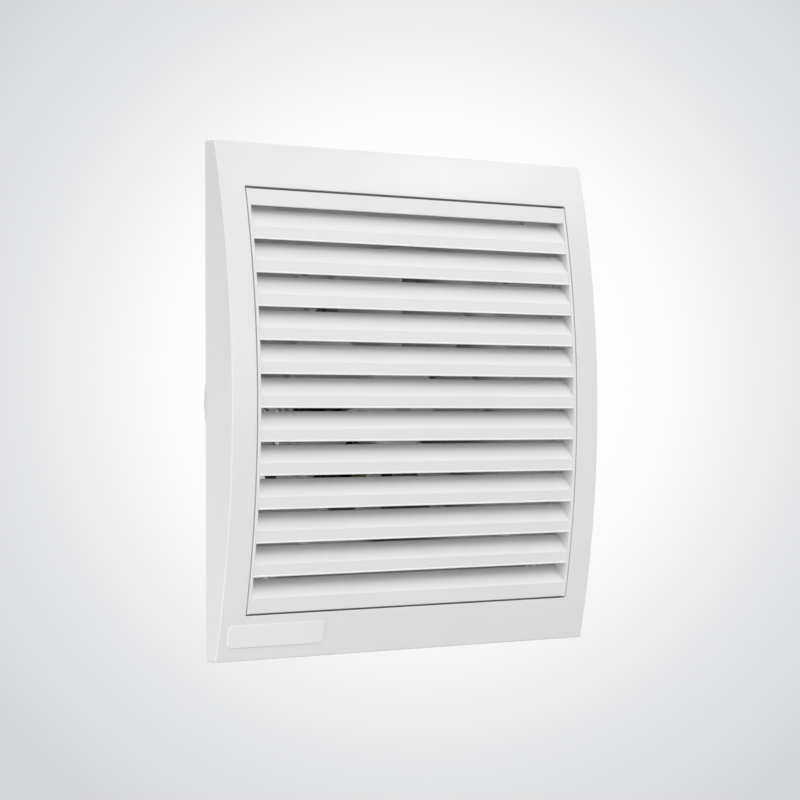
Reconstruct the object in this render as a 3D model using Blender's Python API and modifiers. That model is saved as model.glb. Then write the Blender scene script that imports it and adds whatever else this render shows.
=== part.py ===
"""Kitchen exhaust fan for a wall: bowed front cover, louvre insert, duct housing and motor.

Units are metres, +Z is up, the room is towards -Y and the duct towards +Y. The origin is on
the duct's axis, in the plane of the wall.
"""

import math

import bmesh
import bpy
from mathutils import Matrix, Vector

# Gaps between neighbours
FIT = 0.0003
RUNNING_GAP = 0.0001
OVERRUN = 0.002

# Front cover
PANEL_WIDTH = 0.250
PANEL_HEIGHT = 0.250
EDGE_DEPTH = 0.0069
BOW_RISE = 0.01327
COVER_WALL = 0.0022
COVER_EDGE_ROUND = 0.0015
SIDE_BORDER = 0.0154
END_BORDER = 0.0218
COLLAR_WALL = 0.0016
LEDGE_WIDTH = 0.004
LEDGE_THICKNESS = 0.0021
SEAM = 0.0007
END_SEAM = 0.0009

# Louvre insert
CHEEK_WALL = 0.00185
TOP_RIM = 0.0077
BOTTOM_RIM = 0.0078
OPENINGS = 12
OPENING_HEIGHT = 0.01035
BLADE_WALL = 0.0015
SLANT_RUN = 0.007
SLANT_RISE = 0.009
BAR_INSET = 0.0001
TONGUE_WIDTH = 0.010
TONGUE_LENGTH = 0.0021
TONGUE_HEIGHT = 0.045

# Label plate at the lower left corner of the cover
LABEL_LEFT = 0.0055
LABEL_LENGTH = 0.0605
LABEL_DROP = 0.0065
LABEL_HEIGHT = 0.011
LABEL_THICKNESS = 0.0005

# Base plate and spigot
BASE_THICKNESS = 0.0025
SPIGOT_RADIUS = 0.0745
SPIGOT_WALL = 0.002
SPIGOT_LENGTH = 0.064
MOUTH_LIP = 0.004
MOUTH_HEIGHT = 0.0035
MOUTH_FLARE = 0.0039
MOUTH_CHAMFER_SHARE = 0.3
MOUTH_BEND_SHARES = ((1.0, 1.0), (0.55, 0.65), (0.13, 0.0))
THROAT_DEPTH = 0.001
STOP_RING_WIDTH = 0.003
STOP_RING_THICKNESS = 0.0015
TOWER_X = 0.069
TOWER_Z = 0.065
TOWER_RADIUS = 0.0055
TOWER_HEIGHT = 0.005
TOWER_BORE = 0.0023
TOWER_COUNTERBORE = 0.004
TOWER_COUNTERBORE_DEPTH = 0.004

# Screws that hold the cover on the base
COVER_SCREW_INSET_X = 0.0176
COVER_SCREW_INSET_Z = 0.0152
COVER_SCREW_RADIUS = 0.0015
COVER_SCREW_HEAD = 0.003
COVER_SCREW_HEAD_HEIGHT = 0.0015
COVER_SCREW_END = 0.0005
TAB_REACH = 0.006

# Spider that carries the motor
SPIDER_FRONT = 0.0518
SPIDER_THICKNESS = 0.004
SPIDER_RING = 0.022
SPIDER_HOLE = 0.014
ARM_WIDTH = 0.006
ARMS = 4

# Back-draught flap
FLAP_THICKNESS = 0.0015
FLAP_GAP = 0.0012
HINGE_DROP = 0.0065
HINGE_SETBACK = 0.0024
PIN_RADIUS = 0.001
BARREL_RADIUS = 0.0022
BARREL_HALF = 0.022
PIN_INSERTION = 0.001
FLAP_RIB_WIDTH = 0.0016
FLAP_RIB_HEIGHT = 0.0016
FLAP_RIB_REACH_SHARE = 0.8

# Impeller
IMPELLER_BLADES = 7
TIP_GAP = 0.005
HUB_RADIUS = 0.024
HUB_WALL = 0.0018
HUB_FRONT = -0.003
HUB_REAR = 0.017
HUB_ROUND = 0.003
HUB_ROUND_SHARE = 0.3
BOSS_RADIUS = 0.005
BOSS_REAR = 0.014
NUT_RECESS = 0.007
NUT_RECESS_DEPTH = 0.002
HUB_FLOOR = 0.002
FAN_BLADE_THICKNESS = 0.0016
FAN_BLADE_CENTRE = 0.0085
ROOT_CHORD = 0.0225
TIP_CHORD = 0.040
FAN_BLADE_CAMBER = 0.0018
ROOT_PITCH = math.radians(40)
TIP_PITCH = math.radians(24)
NUT_FLATS = 0.007
NUT_HEIGHT = 0.0029

# Motor
SHAFT_RADIUS = 0.002
SHAFT_FRONT = -0.0052
SHAFT_REAR = 0.0545
STACK_FRONT = 0.030
STACK_THICKNESS = 0.014
STACK_HALF_WIDTH = 0.023
STACK_TOP = 0.020
STACK_BOTTOM = -0.039
LEG_HEIGHT = 0.012
WINDOW_HALF_WIDTH = 0.0124
WINDOW_TOP = -0.016
ROTOR_RADIUS = 0.0112
ROTOR_OVERHANG = 0.0015
AIR_GAP = 0.0004
RING_SLOT = 0.002
RING_WIRE = 0.0014
RING_NEAR = 0.0125
RING_FAR = 0.0195
RING_HEIGHT = 0.0095
BRACKET_HALF_HEIGHT = 0.006
BRACKET_THICKNESS = 0.003
BRACKET_LEG = 0.0045
BRACKET_LEG_WIDTH = 0.011
BRACKET_BOSS_RADIUS = 0.0065
BRACKET_BOSS_REACH = 0.0028
BEARING_RADIUS = 0.004
BEARING_LENGTH = 0.0058
WASHER_RADIUS = 0.0035
WASHER_THICKNESS = 0.0006
MOTOR_SCREW_X = 0.017
MOTOR_SCREW_RADIUS = 0.002
MOTOR_SCREW_HEAD = 0.0038
MOTOR_SCREW_HEAD_HEIGHT = 0.0024
HEAD_TOP_SHARE = 0.7
MOTOR_NUT_HEIGHT = 0.0032

# Coil
BOBBIN_WALL = 0.001
BOBBIN_FLANGE = 0.0012
BOBBIN_HALF_LENGTH = 0.012
FLANGE_HALF_HEIGHT = 0.0152
FLANGE_HALF_DEPTH = 0.0138
WINDING_STEP = 0.001
FUSE_RADIUS = 0.0015
FUSE_LENGTH = 0.012

# Wiring
BLOCK_WIDTH = 0.016
BLOCK_HALF_LENGTH = 0.011
BLOCK_HEIGHT = 0.0075
BLOCK_POLE_HALF = 0.0055
BLOCK_POCKET = 0.0022
BLOCK_POCKET_DEPTH = 0.003
BLOCK_POCKET_OFFSET = 0.004
SMALL_SCREW_HEAD = 0.0018
SMALL_SCREW_HEAD_HEIGHT = 0.0014
SMALL_SCREW_RADIUS = 0.0011
CLAMP_DROP = 0.020
CLAMP_HALF_HEIGHT = 0.003
CLAMP_THICKNESS = 0.003
CLAMP_HOLLOW = 0.002
CLAMP_SCREW_OFFSET = 0.0055
GROMMET_DROP = 0.038
GROMMET_FLANGE = 0.008
GROMMET_BODY = 0.0057
GROMMET_BORE = 0.0035
GROMMET_FLANGE_THICKNESS = 0.0015
LEAD_RADIUS = 0.0009
LEAD_SPACING = 0.003
LEAD_ENTRY_SHARE = 0.55
LEAD_STEPS = 3

# Facets
ARC_STEPS = 20
SPIGOT_SIDES = 48
FLAP_STEPS = 44
ROUND_SIDES = 24
SMALL_SIDES = 12
QUARTER_STEPS = 4
BLADE_SPAN_STEPS = 5
BLADE_CHORD_STEPS = 6

# Places worked out from the sizes above
HALF_WIDTH = PANEL_WIDTH / 2
HALF_HEIGHT = PANEL_HEIGHT / 2
BOW_RADIUS = (HALF_HEIGHT**2 + BOW_RISE**2) / (2 * BOW_RISE)
BOW_CENTRE = BOW_RADIUS - EDGE_DEPTH - BOW_RISE
WINDOW_X = HALF_WIDTH - SIDE_BORDER
WINDOW_Z = HALF_HEIGHT - END_BORDER
LEDGE_X = WINDOW_X - LEDGE_WIDTH
LEDGE_Z = WINDOW_Z - LEDGE_WIDTH
COVER_SCREW_X = WINDOW_X - COVER_SCREW_INSET_X
COVER_SCREW_Z = WINDOW_Z - COVER_SCREW_INSET_Z
GRILLE_HALF_WIDTH = WINDOW_X - SEAM
GRILLE_HALF_HEIGHT = WINDOW_Z - END_SEAM
BLADE_FIELD = 2 * GRILLE_HALF_HEIGHT - TOP_RIM - BOTTOM_RIM
BLADE_PITCH = (BLADE_FIELD - OPENING_HEIGHT) / (OPENINGS - 1)
BASE_FRONT = -BASE_THICKNESS
LEDGE_BACK = BASE_FRONT - FIT
LEDGE_FRONT = LEDGE_BACK - LEDGE_THICKNESS
GRILLE_BACK = LEDGE_FRONT - FIT
SPIGOT_BORE = SPIGOT_RADIUS - SPIGOT_WALL
MOUTH_RADIUS = SPIGOT_RADIUS + MOUTH_LIP
TIP_RADIUS = SPIGOT_BORE - TIP_GAP
HINGE_HEIGHT = SPIGOT_BORE - HINGE_DROP
SPIDER_BACK = SPIDER_FRONT + SPIDER_THICKNESS
STACK_BACK = STACK_FRONT + STACK_THICKNESS
HINGE_DEPTH = SPIGOT_LENGTH - HINGE_SETBACK
FLAP_BACK = HINGE_DEPTH - PIN_RADIUS / 2
FLAP_FRONT = FLAP_BACK - FLAP_THICKNESS
STOP_RING_BACK = FLAP_FRONT - FIT
BLOCK_CENTRE = -(MOUTH_RADIUS + LEDGE_X) / 2
BLOCK_LEFT = BLOCK_CENTRE - BLOCK_WIDTH / 2
BLOCK_RIGHT = BLOCK_CENTRE + BLOCK_WIDTH / 2

# Which way the flat of an outline looks
FACING_X = (math.pi / 2, 0, math.pi / 2)
FACING_Y = (math.pi / 2, 0, 0)
FACING_Z = (0, 0, 0)
ALONG_Y = (-math.pi / 2, 0, 0)


def clear_scene():
    for obj in list(bpy.data.objects):
        bpy.data.objects.remove(obj, do_unlink=True)


def new_collection(name, hidden=False):
    collection = bpy.data.collections.new(name)
    collection.hide_render = hidden
    bpy.context.scene.collection.children.link(collection)
    return collection


def material(name, colour, roughness, metallic=0.0):
    surface = bpy.data.materials.new(name)
    surface.use_nodes = True
    shader = surface.node_tree.nodes["Principled BSDF"]
    shader.inputs["Base Color"].default_value = (*colour, 1.0)
    shader.inputs["Roughness"].default_value = roughness
    shader.inputs["Metallic"].default_value = metallic
    return surface


def place(obj, surface, collection):
    collection.objects.link(obj)
    obj.data.materials.clear()
    obj.data.materials.append(surface)
    return obj


def mesh_object(name, shape, surface, collection):
    shape.faces.ensure_lookup_table()
    mesh = bpy.data.meshes.new(name)
    shape.to_mesh(mesh)
    shape.free()
    return place(bpy.data.objects.new(name, mesh), surface, collection)


def smooth(obj):
    obj.data.shade_smooth()
    obj.data.set_sharp_from_angle(angle=math.radians(35))
    return obj


def settled(obj):
    """The object with its modifiers made part of its mesh."""
    bpy.context.view_layer.update()
    evaluated = obj.evaluated_get(bpy.context.evaluated_depsgraph_get())
    mesh = bpy.data.meshes.new_from_object(evaluated)
    shape = bmesh.new()
    shape.from_mesh(mesh)
    bmesh.ops.remove_doubles(shape, verts=shape.verts, dist=FIT / 100)
    shape.to_mesh(mesh)
    shape.free()
    obj.modifiers.clear()
    obj.data = mesh
    return obj


def block(name, low, high, surface, collection):
    """A box between two corners."""
    shape = bmesh.new()
    bmesh.ops.create_cube(shape, size=1.0)
    low, high = Vector(low), Vector(high)
    size = high - low
    bmesh.ops.transform(shape, matrix=Matrix.Diagonal((*size, 1.0)), verts=shape.verts)
    bmesh.ops.translate(shape, vec=(low + high) / 2, verts=shape.verts)
    return mesh_object(name, shape, surface, collection)


def rod(name, radius, start, end, surface, collection, sides=SMALL_SIDES, end_radius=None):
    """A round bar, or a cone, from one point to another."""
    start, end = Vector(start), Vector(end)
    along = end - start
    shape = bmesh.new()
    bmesh.ops.create_cone(
        shape,
        cap_ends=True,
        segments=sides,
        radius1=radius,
        radius2=radius if end_radius is None else end_radius,
        depth=along.length,
    )
    turn = along.to_track_quat("Z", "Y").to_matrix().to_4x4()
    bmesh.ops.transform(shape, matrix=Matrix.Translation((start + end) / 2) @ turn, verts=shape.verts)
    return smooth(mesh_object(name, shape, surface, collection))


def outline_solid(name, loops, thickness, facing, centre, surface, collection):
    """A flat outline with its holes, given a thickness along the way it faces."""
    curve = bpy.data.curves.new(name, "CURVE")
    curve.dimensions = "2D"
    curve.fill_mode = "BOTH"
    curve.extrude = thickness / 2
    for loop in loops:
        spline = curve.splines.new("POLY")
        spline.points.add(len(loop) - 1)
        for point, (x, y) in zip(spline.points, loop):
            point.co = (x, y, 0, 1)
        spline.use_cyclic_u = True
    guide = bpy.data.objects.new(name + "_outline", curve)
    collection.objects.link(guide)
    bpy.context.view_layer.update()
    evaluated = guide.evaluated_get(bpy.context.evaluated_depsgraph_get())
    mesh = bpy.data.meshes.new_from_object(evaluated)
    bpy.data.objects.remove(guide, do_unlink=True)
    shape = bmesh.new()
    shape.from_mesh(mesh)
    bmesh.ops.remove_doubles(shape, verts=shape.verts, dist=FIT / 100)
    bmesh.ops.recalc_face_normals(shape, faces=shape.faces)
    obj = mesh_object(name, shape, surface, collection)
    obj.rotation_euler = facing
    obj.location = centre
    return obj


def turned(name, profile, surface, collection, sides=ROUND_SIDES, closed=True):
    """A profile of (radius, distance along Y) points, turned about the Y axis."""
    points = list(profile)
    if closed:
        pairs = zip(points, points[1:] + points[:1])
        area = sum(a[0] * b[1] - b[0] * a[1] for a, b in pairs)
        if area > 0:
            points.reverse()
    shape = bmesh.new()
    corners = [shape.verts.new((radius, 0, along)) for radius, along in points]
    for first, second in zip(corners, corners[1:]):
        shape.edges.new((first, second))
    if closed:
        shape.edges.new((corners[-1], corners[0]))
    obj = mesh_object(name, shape, surface, collection)
    screw = obj.modifiers.new("turn", "SCREW")
    screw.axis = "Z"
    screw.steps = sides
    screw.render_steps = sides
    screw.use_merge_vertices = True
    screw.merge_threshold = FIT / 100
    obj.rotation_euler = ALONG_Y
    return smooth(settled(obj))


def combine(obj, tool, operation, cutters):
    """Adds a Boolean of the tool to the object and files the tool with the cutters."""
    for collection in list(tool.users_collection):
        collection.objects.unlink(tool)
    cutters.objects.link(tool)
    tool.hide_render = True
    tool.display_type = "WIRE"
    boolean = obj.modifiers.new(tool.name, "BOOLEAN")
    boolean.operation = operation
    boolean.solver = "EXACT"
    boolean.object = tool
    return obj


def join(obj, tool, cutters):
    return combine(obj, tool, "UNION", cutters)


def cut(obj, tool, cutters):
    return combine(obj, tool, "DIFFERENCE", cutters)


def numbered(pieces):
    """Names the copies of a repeated piece name_1, name_2 and so on."""
    for number, piece in enumerate(pieces, 1):
        piece.name = f"{piece.name.split('.')[0]}_{number}"
    return pieces


def circle(radius, sides, centre=(0, 0)):
    """Points of a circle, in the plane of an outline."""
    turn = 2 * math.pi / sides
    return [
        (centre[0] + radius * math.cos(turn * i), centre[1] + radius * math.sin(turn * i))
        for i in range(sides)
    ]


def rectangle(half_width, half_height, centre=(0, 0)):
    x, y = centre
    return [
        (x - half_width, y - half_height),
        (x + half_width, y - half_height),
        (x + half_width, y + half_height),
        (x - half_width, y + half_height),
    ]


def around(radius, gap, sides):
    """Radius of a faceted hole that clears a round piece by the gap on its flats too."""
    return (radius + gap) / math.cos(math.pi / sides)


def bow(height, inset=0.0):
    """Y of the bowed front at a height, or of the surface that lies inset behind it."""
    return BOW_CENTRE - math.sqrt((BOW_RADIUS - inset) ** 2 - height**2)


def bow_line(low, high, inset=0.0, steps=ARC_STEPS):
    """Points (y, z) along the bowed front from one height to another."""
    return [
        (bow(low + (high - low) * i / steps, inset), low + (high - low) * i / steps)
        for i in range(steps + 1)
    ]


def bowed_block(name, half_width, half_height, inset, back, surface, collection):
    """A solid behind the bowed front, flat at the sides and at the back."""
    outline = [(back, half_height), (back, -half_height)]
    outline += bow_line(-half_height, half_height, inset)
    return outline_solid(
        name, [outline], 2 * half_width, FACING_X, (0, 0, 0), surface, collection
    )


def round_off_wall(obj, width):
    """Rounds the sharp edges of a block along the bow, but not those that lie on the wall."""
    shape = bmesh.new()
    shape.from_mesh(obj.data)
    weight = shape.edges.layers.float.new("bevel_weight_edge")
    for edge in shape.edges:
        # Local X of such an outline is Y of the fan.
        on_wall = min(corner.co.x for corner in edge.verts) > -FIT
        sharp = edge.calc_face_angle(0) > math.radians(40)
        edge[weight] = float(sharp and not on_wall)
    shape.to_mesh(obj.data)
    shape.free()
    rounding = obj.modifiers.new("edge_round", "BEVEL")
    rounding.width = width
    rounding.segments = 2
    rounding.limit_method = "WEIGHT"
    return settled(obj)


def make_front_cover(plastic, part, cutters):
    cover = bowed_block("front_cover", HALF_WIDTH, HALF_HEIGHT, 0, 0, plastic, part)
    round_off_wall(cover, COVER_EDGE_ROUND)
    hollow = bowed_block(
        "cover_hollow",
        HALF_WIDTH - COVER_WALL,
        HALF_HEIGHT - COVER_WALL,
        COVER_WALL,
        OVERRUN,
        plastic,
        part,
    )
    cut(cover, hollow, cutters)
    settled(cover)
    collar = bowed_block(
        "window_collar",
        WINDOW_X + COLLAR_WALL,
        WINDOW_Z + COLLAR_WALL,
        COVER_WALL / 2,
        LEDGE_BACK - LEDGE_THICKNESS / 2,
        plastic,
        part,
    )
    join(cover, collar, cutters)
    ahead = -(EDGE_DEPTH + BOW_RISE + OVERRUN)
    window = block(
        "window", (-WINDOW_X, ahead, -WINDOW_Z), (WINDOW_X, OVERRUN, WINDOW_Z), plastic, part
    )
    cut(cover, window, cutters)
    tab_x = COVER_SCREW_X - TAB_REACH
    tab_z = COVER_SCREW_Z - TAB_REACH
    inner = [
        (LEDGE_X, -tab_z), (LEDGE_X, tab_z), (tab_x, tab_z), (tab_x, LEDGE_Z),
        (-tab_x, LEDGE_Z), (-tab_x, tab_z), (-LEDGE_X, tab_z), (-LEDGE_X, -tab_z),
        (-tab_x, -tab_z), (-tab_x, -LEDGE_Z), (tab_x, -LEDGE_Z), (tab_x, -tab_z),
    ]
    outer = rectangle(WINDOW_X + COLLAR_WALL / 2, WINDOW_Z + COLLAR_WALL / 2)
    ledge = outline_solid(
        "window_ledge",
        [outer, inner],
        LEDGE_THICKNESS,
        FACING_Y,
        (0, (LEDGE_FRONT + LEDGE_BACK) / 2, 0),
        plastic,
        part,
    )
    join(cover, ledge, cutters)
    slot_x = (LEDGE_X - OVERRUN, WINDOW_X + COLLAR_WALL / 4)
    for side in (-1, 1):
        for level in (-1, 1):
            slot = block(
                "tongue_slot",
                (
                    slot_x[0] if side > 0 else -slot_x[1],
                    LEDGE_FRONT - OVERRUN,
                    level * TONGUE_HEIGHT - TONGUE_WIDTH / 2 - SEAM,
                ),
                (
                    slot_x[1] if side > 0 else -slot_x[0],
                    OVERRUN,
                    level * TONGUE_HEIGHT + TONGUE_WIDTH / 2 + SEAM,
                ),
                plastic,
                part,
            )
            cut(cover, slot, cutters)
            x = side * COVER_SCREW_X
            z = level * COVER_SCREW_Z
            hole = around(COVER_SCREW_RADIUS, FIT, SMALL_SIDES)
            shank = rod(
                "cover_hole", hole, (x, LEDGE_FRONT - OVERRUN, z), (x, OVERRUN, z), plastic, part
            )
            cut(cover, shank, cutters)
            sink_depth = COVER_SCREW_HEAD_HEIGHT
            sink_slope = (COVER_SCREW_HEAD - COVER_SCREW_RADIUS) / sink_depth
            sink = rod(
                "cover_sink",
                around(COVER_SCREW_HEAD + OVERRUN * sink_slope, FIT, SMALL_SIDES),
                (x, LEDGE_FRONT - OVERRUN, z),
                (x, LEDGE_FRONT + sink_depth, z),
                plastic,
                part,
                end_radius=hole,
            )
            cut(cover, sink, cutters)
    return smooth(settled(cover))


def make_cover_screws(steel, part):
    screws = []
    for side in (-1, 1):
        for level in (-1, 1):
            profile = [
                (0, -COVER_SCREW_END),
                (COVER_SCREW_RADIUS, -COVER_SCREW_END),
                (COVER_SCREW_RADIUS, LEDGE_FRONT + COVER_SCREW_HEAD_HEIGHT),
                (COVER_SCREW_HEAD, LEDGE_FRONT),
                (0, LEDGE_FRONT),
            ]
            screw = turned("cover_screw", profile, steel, part, SMALL_SIDES, closed=False)
            screw.location = (side * COVER_SCREW_X, 0, level * COVER_SCREW_Z)
            screws.append(screw)
    return numbered(screws)


def blade_outline(low, high, inset):
    """Section (y, z) of one louvre: a lip in the bowed front and a plate rising behind it."""
    front_low = (bow(low, inset), low)
    front_high = (bow(high, inset), high)
    slope = SLANT_RISE / SLANT_RUN
    drop = BLADE_WALL * math.sqrt(1 + slope**2)
    back_y = front_high[0] + SLANT_RUN
    back_z = high + SLANT_RISE
    return [
        front_low,
        front_high,
        (back_y, back_z),
        (back_y, back_z - drop),
        (front_high[0] + BLADE_WALL, high + BLADE_WALL * slope - drop),
        (front_low[0] + BLADE_WALL, low),
    ]


def make_louvre_grille(plastic, part, cutters):
    """The insert: two cheeks, a rim above and below, and the blades between them."""
    first = GRILLE_HALF_HEIGHT - TOP_RIM
    lowest = -GRILLE_HALF_HEIGHT + BAR_INSET
    highest = GRILLE_HALF_HEIGHT - BAR_INSET
    back = GRILLE_BACK - BAR_INSET
    centre_x = GRILLE_HALF_WIDTH - CHEEK_WALL / 2
    outline = [(GRILLE_BACK, GRILLE_HALF_HEIGHT), (GRILLE_BACK, -GRILLE_HALF_HEIGHT)]
    outline += bow_line(-GRILLE_HALF_HEIGHT, GRILLE_HALF_HEIGHT)
    grille = outline_solid(
        "louvre_grille", [outline], CHEEK_WALL, FACING_X, (-centre_x, 0, 0), plastic, part
    )
    top_rim = [
        (bow(first, BAR_INSET), first),
        (bow(highest, BAR_INSET), highest),
        (back, highest),
        (back, highest - BLADE_WALL),
        (bow(highest - BLADE_WALL, BAR_INSET) + BLADE_WALL, highest - BLADE_WALL),
        (bow(first, BAR_INSET) + BLADE_WALL, first),
    ]
    sections = [top_rim]
    for number in range(OPENINGS - 1):
        high = first - number * BLADE_PITCH - OPENING_HEIGHT
        low = first - (number + 1) * BLADE_PITCH
        sections.append(blade_outline(low, high, BAR_INSET))
    last_high = first - (OPENINGS - 1) * BLADE_PITCH - OPENING_HEIGHT
    bottom_rim = blade_outline(lowest + BLADE_WALL, last_high, BAR_INSET)[1:]
    bottom_rim += [(back, lowest + BLADE_WALL), (back, lowest), (bow(lowest, BAR_INSET), lowest)]
    sections.append(bottom_rim)
    for section in sections:
        bar = outline_solid("bar", [section], 2 * centre_x, FACING_X, (0, 0, 0), plastic, part)
        join(grille, bar, cutters)
    other = outline_solid(
        "right_cheek", [outline], CHEEK_WALL, FACING_X, (centre_x, 0, 0), plastic, part
    )
    join(grille, other, cutters)
    for side in (-1, 1):
        for level in (-1, 1):
            x = side * centre_x
            z = level * TONGUE_HEIGHT
            half = CHEEK_WALL / 2 - BAR_INSET
            tongue = block(
                "tongue",
                (x - half, GRILLE_BACK - OVERRUN, z - TONGUE_WIDTH / 2),
                (x + half, GRILLE_BACK + TONGUE_LENGTH, z + TONGUE_WIDTH / 2),
                plastic,
                part,
            )
            join(grille, tongue, cutters)
    return settled(grille)


def make_label(film, part):
    """A blank plate that follows the bow of the cover."""
    low = -HALF_HEIGHT + LABEL_DROP
    high = low + LABEL_HEIGHT
    steps = 2
    outline = bow_line(low, high, -FIT - LABEL_THICKNESS, steps)
    outline += reversed(bow_line(low, high, -FIT, steps))
    centre = -HALF_WIDTH + LABEL_LEFT + LABEL_LENGTH / 2
    return outline_solid(
        "blank_label", [outline], LABEL_LENGTH, FACING_X, (centre, 0, 0), film, part
    )


def spider_outline():
    """A ring with arms, as one outline in the plane of the wall."""
    half = ARM_WIDTH / 2
    reach = SPIGOT_RADIUS - SPIGOT_WALL / 2
    root = math.asin(half / SPIDER_RING)
    quarter = 2 * math.pi / ARMS
    points = []
    for arm in range(ARMS):
        turn = Matrix.Rotation(arm * quarter, 2)
        points += [turn @ Vector((reach, -half)), turn @ Vector((reach, half))]
        for step in range(QUARTER_STEPS + 1):
            angle = arm * quarter + root + (quarter - 2 * root) * step / QUARTER_STEPS
            points.append(SPIDER_RING * Vector((math.cos(angle), math.sin(angle))))
    return [tuple(point) for point in points]


def make_duct_housing(plastic, part, cutters):
    """The base plate, the spigot with its bell mouth and flap stop, and the motor spider."""
    half_width = HALF_WIDTH - COVER_WALL - FIT
    half_height = HALF_HEIGHT - COVER_WALL - FIT
    hole = (SPIGOT_BORE + SPIGOT_RADIUS) / 2
    housing = outline_solid(
        "duct_housing",
        [rectangle(half_width, half_height), circle(hole, SPIGOT_SIDES)],
        BASE_THICKNESS,
        FACING_Y,
        (0, BASE_FRONT / 2, 0),
        plastic,
        part,
    )
    mouth_front = BASE_FRONT - MOUTH_HEIGHT
    bend = [
        (SPIGOT_BORE + MOUTH_FLARE * out, BASE_FRONT - MOUTH_HEIGHT * ahead)
        for out, ahead in MOUTH_BEND_SHARES
    ]
    ring_bore = SPIGOT_BORE - STOP_RING_WIDTH
    ring_front = STOP_RING_BACK - STOP_RING_THICKNESS
    profile = [
        (SPIGOT_BORE, SPIGOT_LENGTH),
        (SPIGOT_RADIUS, SPIGOT_LENGTH),
        (SPIGOT_RADIUS, BASE_FRONT / 2),
        (MOUTH_RADIUS, BASE_FRONT / 2),
        (MOUTH_RADIUS, mouth_front + MOUTH_HEIGHT * MOUTH_CHAMFER_SHARE),
        *bend,
        (SPIGOT_BORE, THROAT_DEPTH),
        (SPIGOT_BORE, ring_front),
        (ring_bore, ring_front),
        (ring_bore, STOP_RING_BACK),
        (SPIGOT_BORE, STOP_RING_BACK),
    ]
    spigot = turned("spigot", profile, plastic, part, SPIGOT_SIDES)
    join(housing, spigot, cutters)
    screw_hole = around(MOTOR_SCREW_RADIUS, FIT, SMALL_SIDES)
    spider = outline_solid(
        "spider",
        [
            spider_outline(),
            circle(SPIDER_HOLE, ROUND_SIDES),
            circle(screw_hole, SMALL_SIDES, (-MOTOR_SCREW_X, 0)),
            circle(screw_hole, SMALL_SIDES, (MOTOR_SCREW_X, 0)),
        ],
        SPIDER_THICKNESS,
        FACING_Y,
        (0, (SPIDER_FRONT + SPIDER_BACK) / 2, 0),
        plastic,
        part,
    )
    join(housing, spider, cutters)
    tower_front = BASE_FRONT - TOWER_HEIGHT
    for side in (-1, 1):
        for level in (-1, 1):
            x = side * TOWER_X
            z = level * TOWER_Z
            tower = rod(
                "tower", TOWER_RADIUS, (x, tower_front, z), (x, BASE_FRONT / 2, z), plastic, part
            )
            join(housing, tower, cutters)
            sink = rod(
                "tower_sink",
                TOWER_COUNTERBORE,
                (x, tower_front - OVERRUN, z),
                (x, tower_front + TOWER_COUNTERBORE_DEPTH, z),
                plastic,
                part,
            )
            cut(housing, sink, cutters)
            bore = rod(
                "tower_bore", TOWER_BORE, (x, tower_front, z), (x, OVERRUN, z), plastic, part
            )
            cut(housing, bore, cutters)
            x = side * COVER_SCREW_X
            z = level * COVER_SCREW_Z
            pilot = rod(
                "cover_pilot",
                around(COVER_SCREW_RADIUS, FIT, SMALL_SIDES),
                (x, BASE_FRONT - OVERRUN, z),
                (x, OVERRUN, z),
                plastic,
                part,
            )
            cut(housing, pilot, cutters)
    pin_end = pin_half_length() + FIT
    pin_hole = rod(
        "pin_hole",
        around(PIN_RADIUS, FIT, SMALL_SIDES),
        (-pin_end, HINGE_DEPTH, HINGE_HEIGHT),
        (pin_end, HINGE_DEPTH, HINGE_HEIGHT),
        plastic,
        part,
    )
    cut(housing, pin_hole, cutters)
    cable_hole = rod(
        "cable_hole",
        around(GROMMET_BODY, FIT, ROUND_SIDES),
        (BLOCK_CENTRE, BASE_FRONT - OVERRUN, -GROMMET_DROP),
        (BLOCK_CENTRE, OVERRUN, -GROMMET_DROP),
        plastic,
        part,
        ROUND_SIDES,
    )
    cut(housing, cable_hole, cutters)
    return smooth(settled(housing))


def pin_half_length():
    """Half the hinge pin: across the bore at its height and a little into the wall."""
    return math.sqrt(SPIGOT_BORE**2 - HINGE_HEIGHT**2) + PIN_INSERTION


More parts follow.
